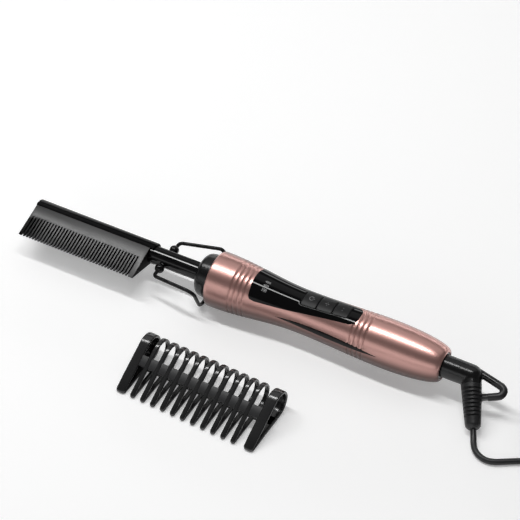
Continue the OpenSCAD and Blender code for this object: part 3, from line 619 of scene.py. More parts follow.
# ------------------------------------------------------------------ stage
CAMERA_AZIMUTH = 28.1
CAMERA_ELEVATION = 44.84
CAMERA_DISTANCE = 1243.0
CAMERA_TARGET = Vector((25.7, 19.95, 26.1))
CAMERA_LENS = 137.7
FLOOR_LIFT = 0.235


class COMB_OT_stage(bpy.types.Operator):
    """Build the floor, the lamps, the world and the camera"""

    bl_idname = "comb.stage"
    bl_label = "Studio"

    def execute(self, context):
        self.floor()
        self.lamps(context.scene.comb_studio)
        self.world(context.scene.comb_studio)
        self.camera()
        context.scene.view_settings.view_transform = "Standard"
        return {"FINISHED"}

    def floor(self):
        floor = settle(added(bpy.ops.mesh.primitive_plane_add, size=6, location=(0, 0, -0.02 * MM)))
        floor.name = floor.data.name = "Floor"
        material, tree, shader = principled("Floor white", (0.93, 0.93, 0.93), 0.6, specular_ior_level=0.2)
        path = add_node(tree, "LightPath").outputs
        seen = path["Is Camera Ray"]
        for also in ("Is Glossy Ray", "Is Transmission Ray"):
            seen = add_node(tree, "Math", {0: seen, 1: path[also]}, use_clamp=True).outputs[0]
        lift = add_node(tree, "Math", {0: seen, 1: FLOOR_LIFT}, operation="MULTIPLY")
        feed(tree, shader, {"Emission Color": (1, 1, 1, 1), "Emission Strength": lift.outputs[0]})
        floor.data.materials.append(material)

    def lamp(self, name, side_angle, distance, width, length, radiance, mid_x=-0.25):
        """A soft box along x, at an angle from straight up towards the viewer's side."""
        a = math.radians(side_angle)
        place = Vector((mid_x, -distance * math.sin(a), distance * math.cos(a))) + RIM
        lamp = added(bpy.ops.object.light_add, type="AREA", location=place)
        lamp.name = lamp.data.name = name
        lamp.data.shape = "RECTANGLE"
        lamp.data.size = length
        lamp.data.size_y = width
        lamp.data.energy = radiance * math.pi * length * width
        lamp.rotation_euler = (a, 0, 0)

    def lamps(self, studio):
        self.lamp("Overhead strip", -0.5, 1.2, 0.095, 1.5, studio.key, -0.42)
        self.lamp("Broad soft box", -36.0, 1.3, 0.8, 2.2, studio.fill)
        self.lamp("Rear strip", -75.0, 1.3, 0.17, 2.4, studio.back)
        self.lamp("Front low box", 73.0, 1.3, 0.5, 2.4, studio.front)

    def world(self, studio):
        """Dim at the horizon, and as bright as the studio's air overhead."""
        world = bpy.data.worlds.new("Studio air")
        world.use_nodes = True
        bpy.context.scene.world = world
        tree = world.node_tree
        split = add_node(tree, "SeparateXYZ", {0: add_node(tree, "TexCoord").outputs["Generated"]})
        rise = add_node(
            tree, "MapRange",
            {"Value": split.outputs["Z"], "From Min": 0.0, "From Max": 0.5, "To Min": 0.2, "To Max": studio.air},
            interpolation_type="SMOOTHSTEP",
        )
        feed(tree, tree.nodes["Background"], {"Color": (1, 1, 1, 1), "Strength": rise.outputs["Result"]})

    def camera(self):
        a, e = math.radians(CAMERA_AZIMUTH), math.radians(CAMERA_ELEVATION)
        back = Vector((math.sin(a) * math.cos(e), -math.cos(a) * math.cos(e), math.sin(e)))
        bpy.ops.object.camera_add(location=(CAMERA_TARGET + back * CAMERA_DISTANCE) * MM)
        camera = bpy.context.object
        camera.rotation_mode = "QUATERNION"
        camera.rotation_quaternion = (-back).to_track_quat("-Z", "Y")
        camera.data.lens = CAMERA_LENS
        camera.data.sensor_width = 36
        camera.data.clip_start = 0.05
        camera.data.clip_end = 20
        bpy.context.scene.camera = camera


# ------------------------------------------------------------------ cord
CORD_R = 1.9
COIL_TURNS = 11.95
COIL_LAYERS = 4
COIL_PITCH = 4.3
COIL_MEAN_R = 22.1
COIL_MID = (244.0, 9.0)
COIL_START = -62.0
COIL_LIFT = 0.55
COIL_STEPS = 36
BOOT_LEN = 33.5
BOOT_BEND = 64.4
BOOT_ROLL = 26.0
ELBOW_X = 173.6
SOCKET_IN = 2.4
# Routes of the free stretches, in the row frame's millimetres
LEAD_ROUTE = [
    (195.2, -30.8, 3.2), (197.4, -35.2, 2.1), (200.2, -39, 1.9), (204, -41.6, 1.9), (208.6, -42.6, 1.9),
    (213.4, -41.4, 1.9), (219, -38.2, 1.9), (226, -34, 1.9), (234, -29.4, 2), (242.6, -24.6, 2.3),
]
TAIL_ROUTE = [(266, -15, 14.4), (275, -9.5, 12.4), (282, -1.5, 9.6), (286, 7, 7.6)]
PLUG_AT = Vector((288, 15, 7))
PLUG_ALONG = Vector((0.1736, 0.9848, 0))


def boot_axes():
    """The boot's direction, the direction across it away from the handle, and the third one."""
    b, p = math.radians(BOOT_BEND), math.radians(BOOT_ROLL)
    along = Vector((math.cos(b), -math.sin(b) * math.cos(p), -math.sin(b) * math.sin(p)))
    across = Vector((math.sin(b), math.cos(b) * math.cos(p), math.cos(b) * math.sin(p)))
    return along, across, along.cross(across).normalized()


def coil_point(turns):
    """A point of the coil's centreline, which spirals in and out again over four layers."""
    per_layer = COIL_TURNS / COIL_LAYERS
    outer = COIL_MEAN_R + per_layer * COIL_PITCH / 2
    layer = min(int(turns / per_layer), COIL_LAYERS - 1)
    share = turns / per_layer - layer
    radius = outer - COIL_PITCH * per_layer * (share if layer % 2 == 0 else 1 - share)
    z = CORD_R + COIL_LIFT
    z += COIL_PITCH * sum(ease((turns - k * per_layer + 0.25) / 0.5) for k in range(1, COIL_LAYERS))
    a = math.radians(COIL_START + 360 * turns)
    return Vector((COIL_MID[0] + radius * math.cos(a), COIL_MID[1] + radius * math.sin(a), z))


def smooth_route(points, spacing):
    """A curve through the points, cut into pieces of about the given spacing."""
    line = []
    for i in range(len(points) - 1):
        p0 = points[max(i - 1, 0)]
        p1, p2 = points[i], points[i + 1]
        p3 = points[min(i + 2, len(points) - 1)]
        steps = max(1, round((p2 - p1).length / spacing))
        for k in range(steps):
            t = k / steps
            line.append(
                0.5 * (2 * p1 + (p2 - p0) * t + (2 * p0 - 5 * p1 + 4 * p2 - p3) * t * t
                       + (3 * p1 - p0 - 3 * p2 + p3) * t ** 3)
            )
    line.append(points[-1])
    return line


def cord_line():
    """The whole cord's centreline in metres: lead, coil and tail."""
    along = boot_axes()[0]
    boot_end = RIM / MM + Vector((ELBOW_X, 0, 0)) + along * BOOT_LEN
    count = round(COIL_TURNS * COIL_STEPS)
    coil = [coil_point(COIL_TURNS * k / count) for k in range(count + 1)]
    a = math.radians(COIL_START)
    start = coil[0] - Vector((-math.sin(a), math.cos(a), 0)) * 2 * CORD_R
    a = math.radians(COIL_START + 360 * COIL_TURNS)
    end = coil[-1] + Vector((-math.sin(a), math.cos(a), 0)) * 2 * CORD_R
    lead = [boot_end - along * SOCKET_IN, boot_end] + [Vector(p) for p in LEAD_ROUTE] + [start]
    tail = [end] + [Vector(p) for p in TAIL_ROUTE] + [PLUG_AT - PLUG_ALONG * 2 * CORD_R, PLUG_AT]
    line = smooth_route(lead, 1.6)[:-1] + smooth_route([start] + coil + [end], 3.6)[:-1] + smooth_route(tail, 2)
    return [p * MM for p in line], boot_end * MM


class COMB_OT_cord(bpy.types.Operator):
    """Build the cord: its lead from the boot, its coil and its tail to the plug"""

    bl_idname = "comb.cord"
    bl_label = "Cord"

    def execute(self, context):
        line, boot_end = cord_line()
        cord = tube("Cord", line, CORD_R, sides=16)
        smooth(cord, 60)
        wear(cord, "cord")
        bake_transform(cord)
        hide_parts("cord_lead", "cord_coil", "cord_tail")
        return {"FINISHED"}


# ------------------------------------------------------------------ handle
GROOVES = [17.2 + 3.1 * k for k in range(4)] + [98.4 + 3.1 * k for k in range(4)]
# Each groove as (distance from its middle, share of its depth), with a slight lip at both edges
GROOVE_SECTION = [(-0.95, -0.1), (-0.75, 0.0), (-0.25, 0.8), (0, 1), (0.25, 0.8), (0.75, 0.0), (0.95, -0.1)]
SHELL_WALL = 2.0
RIM_ROUND = 1.6
RIM_BORE = 15.6
COLLAR_SKIRT = 8.0
TAIL_BORE = 8.6
TAIL_INSIDE = 153.1
SEAM = 0.06
SCREWS = [(18.5, 10.2), (18.5, -10.2), (112.0, 7.6), (112.0, -7.6)]
SCREW_WELL_R = 2.8
SCREW_SEAT_Z = -4.5
PANEL_FRONT = 28.7
PANEL_END = 100.0
PANEL_HALF_FRONT = 13.4
PANEL_HALF_END = 7.6
PANEL_CORNER = 1.2
PANEL_END_R = 5.6
PANEL_BOW = 1.1
PANEL_SAG = 0.55
PANEL_PROUD = 0.15
BUTTON_FROM = 62.2
BUTTON_LEN = 9.6
BUTTON_STEP = 10.5
BUTTON_HALF_FRONT = 6.0
BUTTON_HALF_END = 4.6
BUTTON_CORNER = 1.0
BUTTON_PROUD = 0.65
BUTTON_GAP = 0.28
NUMBERS_AT = 37.6
NUMBERS_HIGH = 2.35
INLAY_MID = 83.5
INLAY_LEN = 69.0
INLAY_HALF = 1.8
INLAY_UP = 2.35


def groove_stations():
    """Profile stations along the handle, with each groove's edges and bottom as (x, depth)."""
    depth = handle_settings().groove_depth / MM
    stations = {}
    x = FRONT_FLAT
    while x < BULGE_AT:
        stations[round(x, 3)] = 0.0
        x += 2.2
    for k in range(19):
        stations[BULGE_AT + (HANDLE_LEN - BULGE_AT) * math.sin(math.pi / 2 * k / 18)] = 0.0
    for g in GROOVES:
        for old in [s for s in stations if abs(s - g) < 1.15]:
            del stations[old]
        for off, share in GROOVE_SECTION:
            stations[g + off] = depth * share
    return sorted(stations.items())


def handle_profile():
    """The closed outline of the handle's wall as (x, radius)."""
    front = handle_settings().front_radius / MM
    outer = [
        (RIM_ROUND * (1 - math.cos(a)), front - RIM_ROUND * (1 - math.sin(a)))
        for a in (math.radians(15 * k) for k in range(7))
    ]
    outer += [(x, handle_radius(x) - d) for x, d in groove_stations()]
    tail = outer[-1][1]
    outer[-1] = (HANDLE_LEN - 0.35, tail + 0.25)
    outer += [(HANDLE_LEN - 0.1, tail - 0.1), (HANDLE_LEN, tail - 0.4)]
    inner = [(HANDLE_LEN, TAIL_BORE + 0.2), (HANDLE_LEN - 0.2, TAIL_BORE), (TAIL_INSIDE, TAIL_BORE)]
    xs = [TAIL_INSIDE - 0.1, 148, 140, 130, 119, 105, 90, 76, 62, 48, 34, 22, 12, COLLAR_SKIRT + 0.05]
    inner += [(x, handle_radius(x) - SHELL_WALL) for x in xs]
    inner += [(COLLAR_SKIRT, RIM_BORE), (0.4, RIM_BORE), (0, RIM_BORE + 0.3)]
    return outer + inner + [outer[0]]


def side_half(x):
    """Half width of the panel at a distance behind the rim, in plan."""
    start = PANEL_FRONT + 5.2
    u = max(0.0, min(1.0, (x - start) / (PANEL_END - PANEL_END_R - start)))
    return PANEL_HALF_FRONT + (PANEL_HALF_END - PANEL_HALF_FRONT) * u - 4 * PANEL_SAG * u * (1 - u)


def corner_set_back(y, half, radius):
    """How far a rounded corner draws back the end of an outline at y."""
    over = max(0.0, abs(y) - (half - radius))
    return radius - math.sqrt(max(0.0, radius * radius - over * over))


def shares(count):
    """Even steps from -1 to 1 that crowd at both ends."""
    return [math.sin(math.pi / 2 * (2 * k / count - 1)) for k in range(count + 1)]


def panel_plan(grow=0.0, along=60, across=26):
    """Rows of (x, y) over the panel's outline."""
    rows = []
    for i in range(along + 1):
        u = (shares(along)[i] + 1) / 2
        row = []
        for v in shares(across):
            front = PANEL_FRONT - grow + PANEL_BOW * v * v
            front += corner_set_back(v * PANEL_HALF_FRONT, PANEL_HALF_FRONT, PANEL_CORNER)
            end = PANEL_END + grow - corner_set_back(v * PANEL_HALF_END, PANEL_HALF_END, PANEL_END_R)
            x = front + (end - front) * u
            row.append((x, v * (side_half(x) + grow)))
        rows.append(row)
    return rows


def sheet(name, rows):
    """A grid whose rows of vertices stand at rows of points in metres, open in edit mode."""
    obj = begin(
        name, bpy.ops.mesh.primitive_grid_add,
        x_subdivisions=len(rows[0]) - 1, y_subdivisions=len(rows) - 1, size=MM,
    )
    bpy.ops.object.mode_set(mode="OBJECT")
    for vertex, place in zip(obj.data.vertices, [p for row in rows for p in row]):
        vertex.co = place
    edit_all(obj)
    return obj


def thick_sheet(name, rows, depth, merge=0.004):
    """A grid made solid by extruding it by a vector in millimetres."""
    obj = sheet(name, rows)
    push(Vector(depth) * MM)
    settle(obj)
    return tidy_mesh(obj, merge)


def outline_of(rows):
    """The outer line of rows of (x, y)."""
    return rows[0] + [row[-1] for row in rows[1:-1]] + rows[-1][::-1] + [row[0] for row in rows[-2:0:-1]]


def plan_cutter(rows):
    """A tall prism over an outline in plan."""
    return extruded("Cutter", outline_of(rows), 30, RIM, X, Y, Z)


def lens_rows(grow=0.0, along=44, across=6):
    """Rows of (x, z) over the outline of a side inlay."""
    rows = []
    for i in range(along + 1):
        u = 2 * i / along - 1
        half = INLAY_HALF * (1 - u * u) + grow
        rows.append([
            (INLAY_MID + (INLAY_LEN / 2 + grow * 4) * u, INLAY_UP + max(half, 0.02) * (2 * j / across - 1))
            for j in range(across + 1)
        ])
    return rows


def inlay_cutter(side):
    outline = outline_of(lens_rows(0.07, 30, 2))
    return extruded("Inlay cutter", outline, 26, RIM + Y * side * 4 * MM, X, Z, Y * side)


class COMB_OT_handle(bpy.types.Operator):
    """Build both halves of the handle, with their rings, seam and openings"""

    bl_idname = "comb.handle"
    bl_label = "Handle"

    def execute(self, context):
        for name, node, sign in (("Upper_shell", "upper_shell", 1), ("Lower_shell", "lower_shell", -1)):
            shell = turned(name, handle_profile(), steps=112)
            cut_away(shell, RIM + Vector((0, 0, sign * SEAM)) * MM, (0, 0, sign))
            if sign > 0:
                cutters = [plan_cutter(panel_plan(0.1, 40, 20)), inlay_cutter(-1), inlay_cutter(1)]
            else:
                cutters = [cylinder(SCREW_WELL_R, 24, 40, at_rim(x, y, SCREW_SEAT_Z - 12)) for x, y in SCREWS]
            for cutter in cutters:
                boolean(shell, cutter)
            dress(shell, 38, "rose", "handle", "rose_gold", node)
        return {"FINISHED"}


class COMB_OT_controls(bpy.types.Operator):
    """Build the gloss panel, its numbers and the three buttons"""

    bl_idname = "comb.controls"
    bl_label = "Panel and buttons"

    def execute(self, context):
        self.panel()
        for k, (name, node, body) in enumerate((
            ("Power_button", "power_button", "power_key"),
            ("Up_button", "up_button", "up_key"),
            ("Down_button", "down_button", "down_key"),
        )):
            self.button(k, name, node, body)
        self.numbers()
        return {"FINISHED"}

    def panel(self):
        rows = [[on_handle(x, y, PANEL_PROUD) for x, y in row] for row in panel_plan()]
        panel = thick_sheet("Control_panel", rows, (0, 0, -1.5))
        for k in range(3):
            boolean(panel, plan_cutter(self.key_plan(k, BUTTON_GAP, 6, 10)))
        soften(panel, 0.22, 2, 60)
        dress(panel, 40, "gloss", "handle", "black_gloss", "control_panel")

    def key_plan(self, k, grow=0.0, along=14, across=14):
        """Rows of (x, y) over one button's outline."""
        x0 = BUTTON_FROM + BUTTON_STEP * k - grow
        x1 = x0 + BUTTON_LEN + 2 * grow
        length = 2 * BUTTON_STEP + BUTTON_LEN
        rows = []
        for i in range(along + 1):
            u = (shares(along)[i] + 1) / 2
            row = []
            for v in shares(across):
                half = BUTTON_HALF_FRONT
                back = corner_set_back(v * half, half, BUTTON_CORNER)
                x = x0 + back + (x1 - x0 - 2 * back) * u
                t = (x - BUTTON_FROM) / length
                row.append((x, v * (BUTTON_HALF_FRONT + (BUTTON_HALF_END - BUTTON_HALF_FRONT) * t + grow)))
            rows.append(row)
        return rows

    def button(self, k, name, node, body):
        mid = BUTTON_FROM + BUTTON_STEP * k + BUTTON_LEN / 2
        rows = []
        for row in self.key_plan(k):
            # The top is pillowed along the handle
            rows.append([
                on_handle(x, y, BUTTON_PROUD - 0.18 * ((x - mid) / (BUTTON_LEN / 2)) ** 4) for x, y in row
            ])
        key = thick_sheet(name, rows, (0, 0, -2.4))
        soften(key, 0.32, 3, 55)
        smooth(key, 50)
        wear(key, "matte")
        key = join(name, key, *self.marks(k, mid))
        finish_piece(key, body, "black_matte", node)

    def marks(self, k, mid):
        """The plain signs on a button: on and off, more, or less."""
        bar = [(-0.22, -1.3), (0.22, -1.3), (-0.22, 1.3), (0.22, 1.3)]
        shapes = [[[bar[0], bar[1]], [bar[2], bar[3]]]]
        if k == 0:
            ring = [math.radians(a) for a in range(40, 321, 14)]
            shapes = [
                [[(r * math.cos(a), r * math.sin(a)) for a in ring] for r in (1.2, 1.62)],
                [[(0.5, -0.2), (2.0, -0.2)], [(0.5, 0.2), (2.0, 0.2)]],
            ]
        elif k == 1:
            shapes.append([[(-1.3, -0.22), (-0.2, -0.22)], [(-1.3, 0.22), (-0.2, 0.22)]])
            shapes.append([[(0.2, -0.22), (1.3, -0.22)], [(0.2, 0.22), (1.3, 0.22)]])
        made = []
        for rows in shapes:
            placed = [[on_handle(mid + a, b, BUTTON_PROUD + 0.03) for a, b in row] for row in rows]
            made.append(wear(thick_sheet("Mark", placed, (0, 0, -0.12)), "mark"))
        return made

    def numbers(self):
        """Three temperatures, printed on the panel over the lamps."""
        for label, y in (("450", -1.4), ("400", -4.2), ("350", -7.0)):
            text = added(bpy.ops.object.text_add)
            text.data.body = label
            text.data.size = NUMBERS_HIGH * MM
            text.data.align_x = "CENTER"
            text.data.align_y = "CENTER"
            text.data.resolution_u = 4
            bpy.ops.object.convert(target="MESH")
            text = bpy.context.object
            edit_all(text)
            push((0, 0, 0.04 * MM))
            bpy.ops.mesh.select_all(action="SELECT")
            bpy.ops.mesh.subdivide(number_cuts=1)
            settle(text)
            for vertex in text.data.vertices:
                across = NUMBERS_AT + vertex.co.x / MM
                lift = PANEL_PROUD + 0.01 + (0.05 if vertex.co.z > 0.02 * MM else 0.0)
                vertex.co = on_handle(across, y + vertex.co.y / MM, lift)
            text.name = text.data.name = "Number_" + label
            tidy_mesh(text, 0.0005)
            wear(text, "ink")
            finish_piece(text, "handle", "clear_led")


class COMB_OT_inlays(bpy.types.Operator):
    """Build the black lens on each side of the handle"""

    bl_idname = "comb.inlays"
    bl_label = "Side inlays"

    def execute(self, context):
        for side, name, node in ((-1, "Inlay_near", "inlay_near"), (1, "Inlay_far", "inlay_far")):
            rows = []
            for row in lens_rows():
                line = []
                for x, z in row:
                    r = handle_radius(x) + 0.06
                    line.append(at_rim(x, side * math.sqrt(r * r - z * z), z))
                rows.append(line)
            lens = thick_sheet(name, rows, (0, -side * 1.1, 0))
            soften(lens, 0.1, 2, 50)
            dress(lens, 40, "gloss", "handle", "black_gloss", node)
        return {"FINISHED"}


# ------------------------------------------------------------------ head, barrel and collar
HEAD_FROM = -130.5
HEAD_TO = -46.3
HEAD_R = 6.6
COVER_R = 7.5
COVER_BORE_R = 6.65
TIP_Y = -24.8
SLOTS = 37
SLOT_PITCH = 2.16
SLOT_W = 1.06
FIRST_SLOT = -127.88
SLOT_DEPTH_Y = -10.1
BARREL_END = -1.55
COLLAR_LEN = 10.4
HINGE_X = -35.4
KNUCKLE_Y = 9.3
KNUCKLE_R = 3.1
WIRE_R = 1.2
FACET_AT = 110.2


class COMB_OT_head(bpy.types.Operator):
    """Build the heated comb with its teeth, and the cover round its back"""

    bl_idname = "comb.head"
    bl_label = "Comb head"

    def execute(self, context):
        self.comb()
        self.cover()
        return {"FINISHED"}

    def comb(self):
        back = [polar(HEAD_R, -108 + 9 * k) for k in range(25)]
        flank = [(-2.07, 6.9), (TIP_Y + 0.35, 0.5), (TIP_Y, 0.2)]
        outline = back + flank + [(y, -z) for y, z in reversed(flank)]
        comb = extruded("Comb_head", outline, HEAD_TO - HEAD_FROM, at_rim(HEAD_FROM, 0, 0), Y, Z, X)
        depth = 20.0
        middle = at_rim(FIRST_SLOT, SLOT_DEPTH_Y - depth / 2, 0)
        slots = added(bpy.ops.mesh.primitive_cube_add, size=1, location=middle)
        slots.scale = (SLOT_W * MM, depth * MM, 18 * MM)
        settle(slots)
        row = slots.modifiers.new("Row", "ARRAY")
        row.count = SLOTS
        row.use_relative_offset = False
        row.use_constant_offset = True
        row.constant_offset_displace = (SLOT_PITCH * MM, 0, 0)
        apply_modifiers(slots)
        boolean(comb, slots)
        soften(comb, 0.13, 2, 30)
        smooth(comb, 30)
        wear(comb, "comb")
        # Painted shade: the slot walls and the comb's end faces take the near-black slot finish
        wear_part(comb, "slot", lambda face: abs(face.normal.x) > 0.75)
        finish_piece(comb, "handle", "comb_metal", "comb_head")

    def cover(self):
        """A half sleeve with grooves along it."""
        outer = []
        grooves = [55.0, 82.0, -55.0, -82.0, 28.0, -28.0]
        a = -105.6
        while a <= 105.61:
            cut = min(abs(a - g) for g in grooves)
            outer.append(polar(COVER_R - (0.34 if cut < 2.2 else 0.17 if cut < 3.2 else 0), a))
            a += 1.65
        inner = [polar(COVER_BORE_R, 107.5 - 7.1667 * k) for k in range(31)]
        cover = extruded("Spine_cover", outer + inner, 87.0, at_rim(-130.9, 0, 0), Y, Z, X)
        soften(cover, 0.3, 3, 60)
        dress(cover, 28, "spine", "handle", "black_gloss", "spine_cover")


class COMB_OT_barrel(bpy.types.Operator):
    """Build the ridged barrel, its knuckle balls and the collar in the handle's mouth"""

    bl_idname = "comb.barrel"
    bl_label = "Barrel and collar"

    def execute(self, context):
        self.barrel()
        self.knuckles()
        self.collar()
        return {"FINISHED"}

    def barrel(self):
        section = []
        for k in range(12):
            for off, r in ((-12.0, 5.9), (-3.2, 5.95), (3.2, 5.95), (12.0, 5.9), (15.0, 5.62)):
                section.append(polar(r, FACET_AT + 30 * k + off))
        barrel = extruded("Barrel", section, BARREL_END - HEAD_TO, at_rim(HEAD_TO, 0, 0), Y, Z, X)
        dress(barrel, 5, "enamel", "handle", "barrel_black", "barrel")

    def knuckles(self):
        balls = []
        for side in (-1, 1):
            profile = [(5.2, 0), (5.2, 2.0), (5.9, 1.9), (6.35, 1.75)]
            for k in range(2, 18):
                a = math.pi * k / 20
                profile.append((KNUCKLE_Y - KNUCKLE_R * math.cos(a), KNUCKLE_R * math.sin(a)))
            profile += [(KNUCKLE_Y + 2.88, 1.32), (KNUCKLE_Y + 2.6, 1.26), (KNUCKLE_Y, 1.26), (KNUCKLE_Y, 0)]
            balls.append(spun("Knuckle", profile, at_rim(HINGE_X, 0, 0), Y * side, X, 40))
        pair = join("Knuckles", *balls)
        dress(pair, 40, "enamel", "handle", "barrel_black", "stand_knuckles")

    def collar(self):
        profile = [(-1.5, 6.2), (-COLLAR_LEN + 0.3, 6.2), (-COLLAR_LEN, 6.5)]
        length = COLLAR_LEN * 0.45
        for k in range(13):
            a = math.pi / 2 * k / 12
            profile.append((-COLLAR_LEN + length * (1 - math.cos(a)), 7.5 + 6.5 * math.sin(a)))
        profile += [(-3.5, 14.3), (-1.2, 14.58), (-0.5, 14.62), (-0.3, 14.55), (0.0, 14.9)]
        profile += [(0.2, 15.5), (COLLAR_SKIRT, 15.5), (COLLAR_SKIRT, 13.4), (-1.5, 13.4), (-1.5, 6.2)]
        collar = turned("Front_collar", profile, steps=96)
        dress(collar, 32, "collar", "handle", "black_gloss", "front_collar")


# ------------------------------------------------------------------ wire stand
ARM_OUT = 16.6
REAR_BEND_AT = (-4.2, 21.6, 4.0)
FOOT_BEND_AT = (-5.2, 12.2, -17.05)


def bend(a, b, c, radius, steps):
    """Points on the arc that rounds corner b of a path a, b, c, in millimetres."""
    a, b, c = Vector(a), Vector(b), Vector(c)
    u, v = (a - b).normalized(), (c - b).normalized()
    half = u.angle(v) / 2
    centre = b + (u + v).normalized() * (radius / math.sin(half))
    p = b + u * (radius / math.tan(half)) - centre
    q = b + v * (radius / math.tan(half)) - centre
    turn = math.pi - 2 * half
    return [
        centre + (p * math.sin((1 - k / steps) * turn) + q * math.sin(k / steps * turn)) / math.sin(turn)
        for k in range(steps + 1)
    ]


class COMB_OT_stand(bpy.types.Operator):
    """Bend the wire stand"""

    bl_idname = "comb.stand"
    bl_label = "Wire stand"

    def execute(self, context):
        corner = (HINGE_X, ARM_OUT, 0)
        start = (HINGE_X, 7.95, 0)
        mid = (FOOT_BEND_AT[0], 0, FOOT_BEND_AT[2])
        half = [Vector(start)] + bend(start, corner, REAR_BEND_AT, 2.6, 8)
        half += bend(corner, REAR_BEND_AT, FOOT_BEND_AT, 4, 9) + bend(REAR_BEND_AT, FOOT_BEND_AT, mid, 7, 10)
        path = half + [Vector((p.x, -p.y, p.z)) for p in reversed(half)]
        wire = tube("Stand", [at_rim(*p) for p in path], WIRE_R, sides=20)
        cut_away(wire, (0, 0, 0), (0, 0, 1), threshold=1e-7)
        dress(wire, 45, "wire", "stand", "black_wire", "stand_bail")
        return {"FINISHED"}


# ------------------------------------------------------------------ tail ring, neck and boot
NECK_R = 7.1
BOOT_ROOT_R = 6.5
BOOT_END_R = 4.7
BOOT_RIBS = 8
RIB_FROM = 8.0
RIB_PITCH = 2.375
LOOP_ROD_R = 2.45
CRESCENT_SHIFT = 2.2
CRESCENT_DEPTH = 1.3
LOOP_LINE = [(2, -4), (16.4, 7), (18.2, 8.6), (19.1, 10.4), (18.7, 12.3), (17.3, 13.6), (15.4, 14.1), (3, 14.1)]


class COMB_OT_boot(bpy.types.Operator):
    """Build the dark ring in the tail and the swivelling neck, boot and hang loop"""

    bl_idname = "comb.boot"
    bl_label = "Cord boot"

    def execute(self, context):
        ring = turned(
            "Tail_ring",
            [(152.6, 7.2), (152.6, 9.5), (153.0, 9.5), (153.0, 8.5), (155.8, 8.5), (156.1, 8.2), (156.1, 7.5),
             (155.9, 7.2), (152.6, 7.2)],
            steps=72,
        )
        dress(ring, 35, "gloss", "handle", "black_matte", "tail_ring")
        self.boot()
        return {"FINISHED"}

    def boot(self):
        along, across, face = boot_axes()
        elbow = at_rim(ELBOW_X, 0, 0)
        neck = [(148.4, 0), (148.4, 8.6), (151.0, 8.6), (151.0, NECK_R)]
        for k in range(11):
            a = math.pi / 2 * k / 10
            neck.append((ELBOW_X + NECK_R * math.sin(a), NECK_R * math.cos(a)))
        parts = [turned("Neck", neck, steps=64)]
        end = BOOT_LEN - 2
        cone = [(-1.0, 0), (-1.0, BOOT_ROOT_R), (0, BOOT_ROOT_R), (4, BOOT_ROOT_R - 0.1)]
        cone += [(a, BOOT_ROOT_R + (BOOT_END_R - BOOT_ROOT_R) * a / end + 0.18) for a in (8, 12, 16, 20, 24, 27)]
        cone += [(29, 4.95), (end - 0.4, 4.85), (end + 0.4, 4.5), (end + 1.4, 3.6), (BOOT_LEN, 2.9), (BOOT_LEN, 0)]
        parts.append(spun("Boot", cone, elbow, along, across, 64))
        route = smooth_route([Vector((c, a, 0)) for c, a in LOOP_LINE], 0.7)
        parts.append(tube("Loop", [elbow + (across * p.x + along * p.y) * MM for p in route], LOOP_ROD_R, 20))
        boot = join("Swivel_boot", *parts)
        moulding = boot.modifiers.new("Moulding", "REMESH")
        moulding.mode = "VOXEL"
        moulding.voxel_size = 0.3 * MM
        ease_off = boot.modifiers.new("Fillets", "SMOOTH")
        ease_off.factor = 0.5
        ease_off.iterations = 26
        apply_modifiers(boot)
        self.crescents(boot, elbow, along, across, face)
        boolean(boot, cylinder(2.1, 4, 40, elbow + along * (BOOT_LEN - 1.0) * MM, along))
        crisp = [
            (151.1, NECK_R - 0.5), (151.1, NECK_R + 0.04), (ELBOW_X - 8, NECK_R + 0.04),
            (ELBOW_X - 6, NECK_R - 0.2), (ELBOW_X - 6, NECK_R - 0.5), (151.1, NECK_R - 0.5),
        ]
        boot = join("Swivel_boot", boot, turned("Neck", crisp, steps=96))
        smooth(boot, 40)
        wear(boot, "boot")
        wear_part(boot, "neck", lambda face: (face.center - elbow).dot(along) < 6 * MM)
        finish_piece(boot, "swivel", "black_matte", "swivel_boot")

    def crescents(self, boot, elbow, along, across, face):
        """Cuts the relief's crescents on both faces, which leave a rail at each side."""
        for sign in (-1, 1):
            rings = []
            for k in range(BOOT_RIBS):
                a = RIB_FROM + (k + 0.25) * RIB_PITCH
                radius = BOOT_ROOT_R + (BOOT_END_R - BOOT_ROOT_R) * a / (BOOT_LEN - 2) + 0.1
                bottom = radius + CRESCENT_SHIFT - CRESCENT_DEPTH
                rings.append(spun(
                    "Ring",
                    [(a, bottom + 0.1), (a + 0.12, bottom), (a + 1.0, bottom), (a + 1.12, bottom + 0.1),
                     (a + 1.25, radius + 4), (a - 0.13, radius + 4), (a, bottom + 0.1)],
                    elbow - face * sign * CRESCENT_SHIFT * MM, along, across, 56,
                ))
            boolean(boot, join("Rings", *rings))


# ------------------------------------------------------------------ guard
GUARD_AT = Vector((2.15, -64.7, 0.0))
GUARD_TURN = -2.4
GUARD_R = 9.5
GUARD_TIP_R = 1.3
GUARD_REACH = 32.8
GUARD_WALL = 1.8
GUARD_RIBS = 11
GUARD_PITCH = 7.04
RIB_T = 3.0
PLATE_FROM, PLATE_TO = -11.5, -5.2
OPEN_FROM, OPEN_TO = 77.8, 84.3
BAR_W = 7.1
BAR_HIGH = 6.3
BAR_LOW = 3.0
BAR_DROP = 0.25


def guard_axes():
    """The guard's directions along its ribs' row, towards its tips, and up."""
    a = math.radians(GUARD_TURN)
    along = Vector((math.cos(a), math.sin(a), 0))
    return along, Vector((along.y, -along.x, 0)), Z


